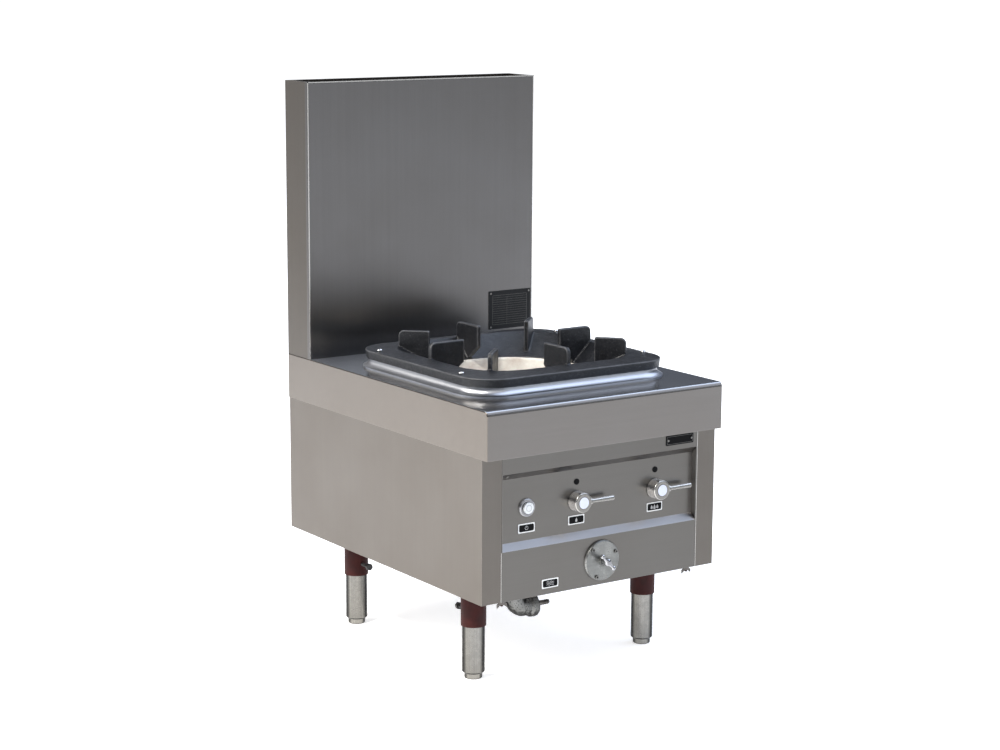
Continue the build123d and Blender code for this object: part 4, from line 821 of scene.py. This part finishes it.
# %% Cut a plate with round corners
def rounded_loop(width, height, corner, centre=(0.0, 0.0), steps=6):
    """The outline of a rectangle with round corners, as (x, z) points."""
    points = []
    for quarter, (side, level) in enumerate(((1, 1), (-1, 1), (-1, -1), (1, -1))):
        for step in range(steps + 1):
            angle = math.pi / 2 * (quarter + step / steps)
            points.append((centre[0] + side * (width / 2 - corner) + corner * math.cos(angle),
                           centre[1] + level * (height / 2 - corner) + corner * math.sin(angle)))
    return points


def plate(shape, outline, front, thickness, window=None):
    """Add a plate that faces -Y; window is an inner loop with as many points as the outline."""
    loops = []
    for loop in filter(None, (outline, window)):
        loops.append([[shape.verts.new((x, y, z)) for x, z in loop] for y in (front, front + thickness)])
    neighbours = [(step, (step + 1) % len(outline)) for step in range(len(outline))]
    for ahead, behind in loops:
        for here, there in neighbours:
            shape.faces.new((ahead[here], ahead[there], behind[there], behind[here]))
    for level in (0, 1):
        if window:
            outer, inner = loops[0][level], loops[1][level]
            for here, there in neighbours:
                shape.faces.new((outer[here], outer[there], inner[there], inner[here]))
        else:
            shape.faces.new(loops[0][level])


# %% [markdown]
# ## Castings from solids
# A casting has no sharp edge and no truly flat face. A copy of the solid is rebuilt from small cubes,
# which gives it an even skin, and that skin is smoothed, so its edges go soft. A smooth noise then pushes
# it in and out by fractions of a millimetre. Carving it by hand would look as good, but it couldn't
# follow a change of the solid.


# %% Make a casting from a solid
SMOOTH_STEP = 0.5
RIPPLE_SHARE, RIPPLE_FINENESS = 0.4, 3.1


def cast_mesh(source, voxel, rounds, lump, lump_size, inward=False):
    """A remeshed, softened and slightly uneven copy of a part's mesh."""
    blank = bpy.data.objects.new("blank", nodes[source].data.copy())
    bpy.context.scene.collection.objects.link(blank)
    skin = blank.modifiers.new("skin", "REMESH")
    skin.mode = "VOXEL"
    skin.voxel_size = voxel
    soften = blank.modifiers.new("soften", "SMOOTH")
    soften.factor = SMOOTH_STEP
    soften.iterations = rounds
    mesh = bpy.data.meshes.new_from_object(blank.evaluated_get(bpy.context.evaluated_depsgraph_get()))
    bpy.data.objects.remove(blank)
    mesh.materials.clear()
    directions = [vertex.normal.copy() for vertex in mesh.vertices]
    for vertex, direction in zip(mesh.vertices, directions):
        spot = vertex.co / lump_size
        swell = noise.noise(spot) + RIPPLE_SHARE * noise.noise(spot * RIPPLE_FINENESS)
        if inward:
            swell = -abs(swell)
        vertex.co += direction * (lump * swell)
    mesh.update()
    return mesh


# %% [markdown]
# ## The cast-iron top and the fire ring
# The top is a heavy square casting with eight fins that hold the pan. In sunlight its sandy skin glints,
# and the fins have thin pale edges. A remeshed copy gives both the soft edges and the faint waviness that
# a straight solid lacks. The fire ring below is rammed clay: rougher, with bigger lumps that only go
# inwards, clear of its shell.

# %% Cast the top and the fire ring
TOP_SKIN = {"voxel": 0.0018, "rounds": 3, "lump": 0.00035, "lump_size": 0.012}
RING_SKIN = {"voxel": 0.003, "rounds": 3, "lump": 0.0012, "lump_size": 0.014, "inward": True}
add_piece("cast_top", cast_mesh("cast_iron_top", **TOP_SKIN), cast_iron, slot="cast_iron",
          stands_for=("cast_iron_top",), sharp=SHARP_CAST_EDGE)
add_piece("fire_ring", cast_mesh("refractory_ring", **RING_SKIN), refractory, slot="refractory",
          stands_for=("refractory_ring",), sharp=SHARP_CAST_EDGE)

# %% [markdown]
# ## Gas inlet
# Gas comes in through a zinc-coated elbow under the cabinet, with a thick bead round each end. It is one
# more casting, with a lumpier skin, because the zinc was still liquid when the elbow came out of its
# bath.

# %% Cast the elbow
ELBOW_SKIN = {"voxel": 0.0012, "rounds": 5, "lump": 0.0009, "lump_size": 0.009}
add_piece("inlet_elbow", cast_mesh("gas_elbow", **ELBOW_SKIN), galvanised, slot="galvanised",
          stands_for=("gas_elbow",), sharp=SHARP_CAST_EDGE)

# %% [markdown]
# ## Hose nipple
# A hose slips over a ribbed steel nipple. To the hose each rib rises slowly and then drops at once, so it
# goes on easily and stays on. The nipple is one turned profile from the plug in the elbow to the last
# rib, and its collar is a hexagon, for the spanner that drives it in.

# %% Turn the nipple
PLUG_RADIUS, PLUG_LENGTH = 0.0168, 0.0150
COLLAR_RADIUS, COLLAR_LENGTH, COLLAR_ROUNDING, COLLAR_NARROWED = 0.0098, 0.0050, 0.0008, 0.92
BORE_RADIUS, RIB_RADIUS, RIB_ROOT = 0.0035, 0.0055, 0.0045
RIB_LENGTH, RIB_DROP, RIB_COUNT = 0.0048, 0.0002, 4
nipple_low, nipple_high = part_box("hose_nipple")
nipple_foot = (nipple_low.x, (nipple_low.y + nipple_high.y) / 2, (nipple_low.z + nipple_high.z) / 2)
nipple_length = nipple_high.x - nipple_low.x
collar_end = PLUG_LENGTH + COLLAR_LENGTH
profile = [(0, BORE_RADIUS), (0, PLUG_RADIUS), (PLUG_LENGTH, PLUG_RADIUS), (PLUG_LENGTH, COLLAR_RADIUS),
           (collar_end - COLLAR_ROUNDING, COLLAR_RADIUS), (collar_end, COLLAR_RADIUS * COLLAR_NARROWED),
           (collar_end, RIB_ROOT)]
for rib in range(RIB_COUNT):
    start = nipple_length - (RIB_COUNT - rib) * RIB_LENGTH
    profile += [(start + RIB_DROP, RIB_RADIUS), (start + RIB_LENGTH, RIB_ROOT)]
profile += [(nipple_length, BORE_RADIUS), (0, BORE_RADIUS)]
shape = bmesh.new()
turned(shape, profile, nipple_foot, (1, 0, 0), flats=(3, 4, 5))
add_shape("inlet_nipple", shape, dark_steel, slot="gas_steel", stands_for=("hose_nipple",))

# %% [markdown]
# ## Screws of the front panel
# Three socket screws hold the air valve's flange, and one small pan-head screw sits in the recess's upper
# slope. A socket is a pair of hexagonal rings that go down into the head. A dark dot would do from afar,
# but a real hole keeps its dark side and its light side when the lamps move.

# %% Turn the flange's socket screws
GLAND_LENGTH = 0.005
SCREW_CIRCLE, SCREW_ANGLES = 0.0365, (25, 135, 245)
SCREW_RADIUS, SCREW_SUNK, SCREW_PROUD, SCREW_ROUNDING = 0.004, 0.001, 0.003, 0.0005
SOCKET_RADIUS, SOCKET_DEPTH, SOCKET_LIP = 0.0023, 0.0022, 0.0003
flange_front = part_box("air_valve_body")[0].y + GLAND_LENGTH
handle_low, handle_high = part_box("air_handle")
handle_centre = (handle_low + handle_high) / 2
socket_screw = [(-SCREW_SUNK, SCREW_RADIUS), (SCREW_PROUD - SCREW_ROUNDING, SCREW_RADIUS),
                (SCREW_PROUD, SCREW_RADIUS - SCREW_ROUNDING), (SCREW_PROUD, SOCKET_RADIUS + SOCKET_LIP),
                (SCREW_PROUD - SOCKET_LIP, SOCKET_RADIUS), (SCREW_PROUD - SOCKET_DEPTH, SOCKET_RADIUS),
                (SCREW_PROUD - SOCKET_DEPTH, 0)]
shape = bmesh.new()
for angle in map(math.radians, SCREW_ANGLES):
    spot = (handle_centre.x + SCREW_CIRCLE * math.cos(angle), flange_front,
            handle_centre.z + SCREW_CIRCLE * math.sin(angle))
    turned(shape, socket_screw, spot, TO_THE_FRONT, sides=36, flats=(4, 5))
print("flange's face at y =", round(flange_front, 4), "with", len(SCREW_ANGLES), "screws")

# %% Turn the slope's pan-head screw, and put all four in the scene
PAN_RADIUS, PAN_PROUD, SHANK_RADIUS = 0.003, 0.0012, 0.0014
PAN_SPOT, PAN_DIRECTION = (-0.233, -0.36875, 0.45575), (0, -0.7203, -0.6937)
pan_head = [(-PAN_PROUD, SHANK_RADIUS), (0, SHANK_RADIUS), (0, PAN_RADIUS), (0.0005, PAN_RADIUS * 0.95),
            (0.001, PAN_RADIUS * 0.7), (PAN_PROUD, PAN_RADIUS * 0.35), (PAN_PROUD - 0.0004, 0)]
turned(shape, pan_head, PAN_SPOT, PAN_DIRECTION, sides=36)
add_shape("panel_screw_heads", shape, dark_screw, stands_for=("panel_screws",))

# %% [markdown]
# ## Set bolts
# A black set bolt clamps each leg in its socket, so the leg can be changed without a saw. Only the head
# and a few turns of thread are seen. The thread is drawn as plain ridges, because nobody can tell them
# from a real spiral at this size.

# %% Turn the set bolts of the legs
SOCKET_OUTER, BOLT_REACH = 0.0265, 0.060
BOLT_RADIUS, THREAD_PITCH, THREAD_DEPTH = 0.004, 0.0015, 0.0005
HEAD_RADIUS, HEAD_LENGTH = 0.008, 0.008
bolt_low, bolt_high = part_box("leg_bolts")
head_start = BOLT_REACH - SOCKET_OUTER - HEAD_LENGTH
bolt = [(0, BOLT_RADIUS)]
for ridge in range(int(head_start / THREAD_PITCH)):
    bolt += [((ridge + 0.5) * THREAD_PITCH, BOLT_RADIUS - THREAD_DEPTH),
             ((ridge + 1) * THREAD_PITCH, BOLT_RADIUS)]
head_rings = (len(bolt) + 1, len(bolt) + 2)
bolt += [(head_start, HEAD_RADIUS * 0.9), (head_start + 0.0006, HEAD_RADIUS),
         (head_start + HEAD_LENGTH - 0.001, HEAD_RADIUS), (head_start + HEAD_LENGTH, HEAD_RADIUS * 0.84)]
shape = bmesh.new()
for corner in CORNERS:
    low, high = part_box(f"leg_tube_{corner}")
    inward = 1 if corner.startswith("front") else -1
    foot_of_bolt = ((low.x + high.x) / 2, (low.y + high.y) / 2 + inward * SOCKET_OUTER,
                    (bolt_low.z + bolt_high.z) / 2)
    turned(shape, bolt, foot_of_bolt, (0, inward, 0), sides=36, flats=head_rings)
add_shape("set_bolts", shape, black_bolt, slot="black_bolt", stands_for=("leg_bolts",))

# %% [markdown]
# ## Wing nuts
# Two forged wing nuts hold the front panel from below, so that it comes off without tools. They are small
# castings here, with the finest cubes of all, because their wings are only a few millimetres thick.

# %% Forge the wing nuts
NUT_SKIN = {"voxel": 0.0005, "rounds": 4, "lump": 0.0001, "lump_size": 0.003}
for side in ("left", "right"):
    add_piece(f"wing_nut_{side}_forged", cast_mesh(f"wing_nut_{side}", **NUT_SKIN), dark_steel,
              f"nut_{side}", "gas_steel", (f"wing_nut_{side}",), sharp=SHARP_CAST_EDGE)

# %% [markdown]
# ## The air valve's handle
# A small plated T-bar turns the air valve. Its bar has a ball at each end and swells towards the hub, so
# both parts are turned, the bar on a slant and the hub straight towards us. Half the bar is drawn from
# its ball to its middle, and the other half is the same list with its signs changed.

# %% Turn the handle
BAR_TILT = math.radians(-45)
HALF_BAR = [(0.0250, 0), (0.0247, 0.0017), (0.0238, 0.0034), (0.0222, 0.0047), (0.0202, 0.0053),
            (0.0182, 0.0049), (0.0167, 0.0040), (0.0157, 0.0033), (0.0130, 0.0035), (0.0085, 0.0043),
            (0.0060, 0.0050)]
HUB = [(0, 0.0070), (0.0006, 0.0080), (0.0060, 0.0080), (0.0078, 0.0074), (0.0094, 0.0060),
       (0.0106, 0.0035), (0.0110, 0)]
bar = [(-along, radius) for along, radius in HALF_BAR] + HALF_BAR[::-1]
shape = bmesh.new()
turned(shape, bar, handle_centre, (math.cos(BAR_TILT), 0, math.sin(BAR_TILT)))
turned(shape, HUB, (handle_centre.x, handle_high.y, handle_centre.z), TO_THE_FRONT)
add_shape("air_bar", shape, chrome, "air_handle_set", "chrome", ("air_handle",), SHARP_BAR_EDGE)

# %% [markdown]
# ## Small parts of the knobs
# A knob never touches the panel: a black washer fills the gap behind it, and that dark line is what makes
# it look separate. The washer is painted shade: a dark ring where the gap behind the knob is in shade. A
# thin black ring frames each white cap. Both turn with the tap, though nobody can see that they do.


# %% Add the knobs' washers and rings
def middle_of(name):
    """The centre of a part's box, and its frontmost y."""
    low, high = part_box(name)
    return (low.x + high.x) / 2, low.y, (low.z + high.z) / 2


def add_ring(shape, spot, inner, outer, back, front):
    """Add a flat ring with rounded corners round a spot, looking to the front."""
    soft = min(outer - inner, front - back) / 3
    profile = [(back, inner), (back, outer), (front - soft, outer), (front, outer - soft),
               (front, inner + soft), (front - soft, inner), (back, inner)]
    turned(shape, profile, spot, TO_THE_FRONT)


# The washer is painted shade, a black ring where the gap is in shade.
# Inner and outer radius, then how far its back and its front stand before the spot.
SHADE_WASHER, CAP_RING = (0.0060, 0.0198, 0.0001, 0.0006), (0.01205, 0.0129, -0.0001, 0.0003)
PLUG_PROUD, CAP_PROUD = 0.0012, 0.001
panel_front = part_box("index_plugs")[0].y + PLUG_PROUD
for tap in ("pilot", "main"):
    x, cap_front, z = middle_of(f"{tap}_cap")
    shape = bmesh.new()
    add_ring(shape, (x, panel_front, z), *SHADE_WASHER)
    add_ring(shape, (x, cap_front + CAP_PROUD, z), *CAP_RING)
    add_shape(f"{tap}_rings", shape, black_plastic, f"{tap}_tap", "black_plastic")

# %% [markdown]
# ## The push button
# The button's white lens is moulded with a ridge near its edge and a shallow dome in the middle, and a
# thin grey ring lies on the dome. It sits in a bright turned bezel with two dark grooves. The lens moves
# with the button, and the grooves stay with the panel.

# %% Add the lens and the bezel's grooves
LENS = [(-0.0002, 0.0118), (0.0004, 0.0116), (0.0006, 0.0108), (0.0003, 0.0102), (0.0003, 0.0090),
        (0.0006, 0.0084), (0.0007, 0.0045), (0.0008, 0)]
LENS_RING, LENS_RING_AHEAD = (0.0058, 0.0066, -0.0009, -0.0004), 0.0014
GROOVES = ((0.0122, 0.0131, -0.0002, 0.0002), (0.0150, 0.0156, -0.0006, 0.0001))
x, lens_front, z = middle_of("power_button")
shape = bmesh.new()
turned(shape, LENS, (x, lens_front, z), TO_THE_FRONT)
add_shape("button_lens", shape, lens_white, "push_button", "white_plastic")
shape = bmesh.new()
add_ring(shape, (x, lens_front - LENS_RING_AHEAD, z), *LENS_RING)
add_shape("lens_ring", shape, print_grey, "push_button", "white_plastic")
shape = bmesh.new()
for groove in GROOVES:
    add_ring(shape, (x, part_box("button_bezel")[0].y, z), *groove)
add_shape("bezel_grooves", shape, black_plastic, slot="black_plastic")

# %% [markdown]
# ## Labels
# Each small label is a thin white plate with a black field printed on it, so a white rim is left round
# the field. The field could be a picture on the plate. A thin shape of its own needs no picture, and its
# edge stays sharp however close the camera comes.

# %% Lay the black fields on the labels
LABEL_SIZE, LABEL_BORDER, LABEL_DROP = (0.041, 0.019), 0.0045, 0.040
FIELD_THICKNESS, FIELD_CORNER = 0.00015, 0.0028
LABEL_PROUD, AIR_LABEL = 0.0008, (-0.130, 0.2225)
pilot_x, _, tap_z = middle_of("pilot_cap")
row = {"power": middle_of("power_button")[0], "pilot": pilot_x, "main": middle_of("main_cap")[0]}
spots = {label: (x, panel_front - LABEL_PROUD, tap_z - LABEL_DROP) for label, x in row.items()}
spots["air"] = (AIR_LABEL[0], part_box("label_plates")[0].y, AIR_LABEL[1])
shape = bmesh.new()
for x, front, z in spots.values():
    field = rounded_loop(LABEL_SIZE[0] - LABEL_BORDER, LABEL_SIZE[1] - LABEL_BORDER, FIELD_CORNER, (x, z))
    plate(shape, field, front - FIELD_THICKNESS, FIELD_THICKNESS)
add_shape("label_fields", shape, label_black, slot="label")

# %% [markdown]
# ## Signs
# Every field carries one plain sign: a power ring on the first, a flame for the pilot, three flames for
# the main burner, and waves for the air. A flame is a drop with its point upwards, which one short
# formula draws, and a wave is a sine line with some thickness.


# %% Draw a flame and a wave
FLAME_FULLNESS, FLAME_POINT, WAVE_TURNS = 1.3, 1.6, 2


def flame_loop(x, z, width, height, steps=28):
    """The outline of a flame: a drop with its point upwards."""
    points = []
    for step in range(steps):
        angle = 2 * math.pi * step / steps
        swell = FLAME_FULLNESS * math.sin(angle) * math.sin(angle / 2) ** FLAME_POINT
        points.append((x + width / 2 * swell, z + height / 2 * math.cos(angle)))
    return points


def wave_loop(x, z, length, height, thickness, steps=24):
    """The outline of a wavy line."""
    line = []
    for share in (step / steps for step in range(steps + 1)):
        line.append((x + length * (share - 0.5), z + height * math.sin(2 * math.pi * WAVE_TURNS * share)))
    above = [(a, b + thickness / 2) for a, b in line]
    below = [(a, b - thickness / 2) for a, b in reversed(line)]
    return above + below


# %% Print the signs
SIGN_THICKNESS = 0.0001
POWER_RING, POWER_RING_WINDOW = (0.0084, 0.0084, 0.0042), (0.0066, 0.0066, 0.0033)
POWER_BAR, POWER_BAR_RISE = (0.0010, 0.0050, 0.0004), 0.0028
PILOT_FLAME = (0.0060, 0.0095)
# Offsets from the label's middle, with the flame's width and height.
MAIN_FLAMES = ((-0.0075, 0.0064, 0.0088), (0.0, 0.0064, 0.0105), (0.0075, 0.0064, 0.0088))
WAVE, WAVE_LEVELS = (0.018, 0.0009, 0.0010), (-0.0032, 0.0, 0.0032)


def sign(label, outline, window=None):
    """One printed outline on a label's field."""
    plate(shape, outline, spots[label][1] - FIELD_THICKNESS - SIGN_THICKNESS, SIGN_THICKNESS, window)


shape = bmesh.new()
x, _, z = spots["power"]
sign("power", rounded_loop(*POWER_RING, (x, z)), rounded_loop(*POWER_RING_WINDOW, (x, z)))
sign("power", rounded_loop(*POWER_BAR, (x, z + POWER_BAR_RISE)))
x, _, z = spots["pilot"]
sign("pilot", flame_loop(x, z, *PILOT_FLAME))
x, _, z = spots["main"]
for aside, width, height in MAIN_FLAMES:
    sign("main", flame_loop(x + aside, z, width, height))
x, _, z = spots["air"]
for above in WAVE_LEVELS:
    sign("air", wave_loop(x, z + above, *WAVE))
add_shape("label_signs", shape, print_grey, slot="label")

# %% [markdown]
# ## Plates
# The name plate on the front panel has a thin border near its edge. The data plate low on the splash is a
# ruled form: a border, a line under each row and one line down between the two columns. All are thin
# strips of print.

# %% Border the name plate and rule the data plate
RULE, LINE = 0.0007, 0.00049
OUTER_CORNER, INNER_CORNER, LINE_CORNER = 0.002, 0.0014, 0.00014
INSETS = {"name_plate": 0.0022, "data_plate": 0.0105}
ROW_COUNT, COLUMN_SHARE = 13, 0.42
shape = bmesh.new()
for name, inset in INSETS.items():
    low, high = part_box(name)
    print_front = low.y - SIGN_THICKNESS
    width, height = high.x - low.x - 2 * inset, high.z - low.z - 2 * inset
    centre = ((low.x + high.x) / 2, (low.z + high.z) / 2)
    plate(shape, rounded_loop(width, height, OUTER_CORNER, centre), print_front, SIGN_THICKNESS,
          rounded_loop(width - 2 * RULE, height - 2 * RULE, INNER_CORNER, centre))
left, bottom = centre[0] - width / 2, centre[1] - height / 2
for row in range(1, ROW_COUNT):
    level = bottom + height * row / ROW_COUNT
    plate(shape, rounded_loop(width - 2 * RULE, LINE, LINE_CORNER, (centre[0], level), 2), print_front,
          SIGN_THICKNESS)
column_height = height * (ROW_COUNT - 1) / ROW_COUNT
column_middle = (left + width * COLUMN_SHARE, bottom + column_height / 2)
plate(shape, rounded_loop(LINE, column_height, LINE_CORNER, column_middle, 2), print_front, SIGN_THICKNESS)
add_shape("plate_rules", shape, plate_print, slot="plate")

# %% [markdown]
# ## Hems
# A hem is a sheet's edge folded back on itself, so that nobody gets cut. The splash's front sheet has one
# on three sides. The stiles beside the front panel have a narrower one: the right stile's is seen from
# the foot to the worktop, and the left stile's only below the recess. Each shows as one thin bright line,
# a painted highlight: the hems have a much brighter tint than the sheets that they are folded from.

# %% Lay the hems along the splash
HEM_WIDTH, HEM_PROUD, HEM_ROUNDING = 0.0022, 0.0006, 0.3


def hem(shape, width, height, centre, face, proud):
    """Add an upright or level strip that stands a little proud of a face at y."""
    strip = rounded_loop(width, height, min(width, height) * HEM_ROUNDING, centre, 2)
    plate(shape, strip, face - proud, proud)


low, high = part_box("splash_front")
shape = bmesh.new()
for x in (low.x + HEM_WIDTH / 2, high.x - HEM_WIDTH / 2):
    hem(shape, HEM_WIDTH, high.z - low.z, (x, (low.z + high.z) / 2), low.y, HEM_PROUD)
hem(shape, high.x - low.x, HEM_WIDTH, ((low.x + high.x) / 2, high.z - HEM_WIDTH / 2), low.y, HEM_PROUD)
add_shape("splash_hem", shape, hem_highlight_steel)

# %% Lay the hems along the stiles
STILE_HEM_WIDTH, STILE_HEM_PROUD, RECESS_BOTTOM = 0.0011, 0.0003, 0.3035
stile_low, stile_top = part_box("left_side_panel")[0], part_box("worktop")[0].z
left_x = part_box("left_side_panel")[1].x - STILE_HEM_WIDTH / 2
right_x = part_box("right_side_panel")[0].x + STILE_HEM_WIDTH / 2
shape = bmesh.new()
for x, top in ((left_x, RECESS_BOTTOM), (right_x, stile_top)):
    centre = (x, (top + stile_low.z) / 2)
    hem(shape, STILE_HEM_WIDTH, top - stile_low.z, centre, stile_low.y, STILE_HEM_PROUD)
add_shape("stile_hems", shape, hem_highlight_steel)

# %% [markdown]
# ## Floor
# The floor is a plain pale disc, wide enough to fill the picture behind the range from any side. To the
# camera, and in the reflections of metal, it also glows, a little under the range and more from there
# outwards, so it reads as white paper and still keeps a soft shadow. It doesn't glow for the light that
# falls on the object, which would flatten every form.

# %% Make the floor's paint
FLOOR_GREY, FLOOR_ROUGHNESS = 0.86, 0.9
NEAR_GLOW, FAR_GLOW, GLOW_STARTS, GLOW_ENDS = 0.66, 0.95, 2.0, 8.0
floor_paint, tree, shader, here = start_material("floor_paint", roughness=FLOOR_ROUGHNESS)
shader["Base Color"].default_value = (FLOOR_GREY, FLOOR_GREY, FLOOR_GREY, 1)
path = node(tree, "LightPath").outputs
seen = maths(tree, "MAXIMUM", path["Is Glossy Ray"], path["Is Transmission Ray"])
seen = maths(tree, "MAXIMUM", seen, path["Is Camera Ray"])
away = node(tree, "VectorMath", operation="LENGTH")
join(tree, here, away.inputs[0])
glow = remap(tree, away.outputs["Value"], GLOW_STARTS, GLOW_ENDS, NEAR_GLOW, FAR_GLOW)
join(tree, glow, shader["Emission Strength"])
join(tree, blend_colour(tree, seen, BLACK, (1.0, 1.0, 1.0)), shader["Emission Color"])
print("the glow grows from", NEAR_GLOW, "to", FAR_GLOW, "between", GLOW_STARTS, "and", GLOW_ENDS, "metres")

# %% Lay the floor
FLOOR_RADIUS, FLOOR_SIDES = 90.0, 96
plan = bmesh.new()
bmesh.ops.create_circle(plan, cap_ends=True, segments=FLOOR_SIDES, radius=FLOOR_RADIUS)
floor_mesh = bpy.data.meshes.new("floor")
plan.to_mesh(floor_mesh)
plan.free()
floor_mesh.materials.append(floor_paint)
floor = bpy.data.objects.new("floor", floor_mesh)
bpy.context.scene.collection.objects.link(floor)
print("floor:", len(floor_mesh.vertices), "points,", 2 * FLOOR_RADIUS, "metres across")
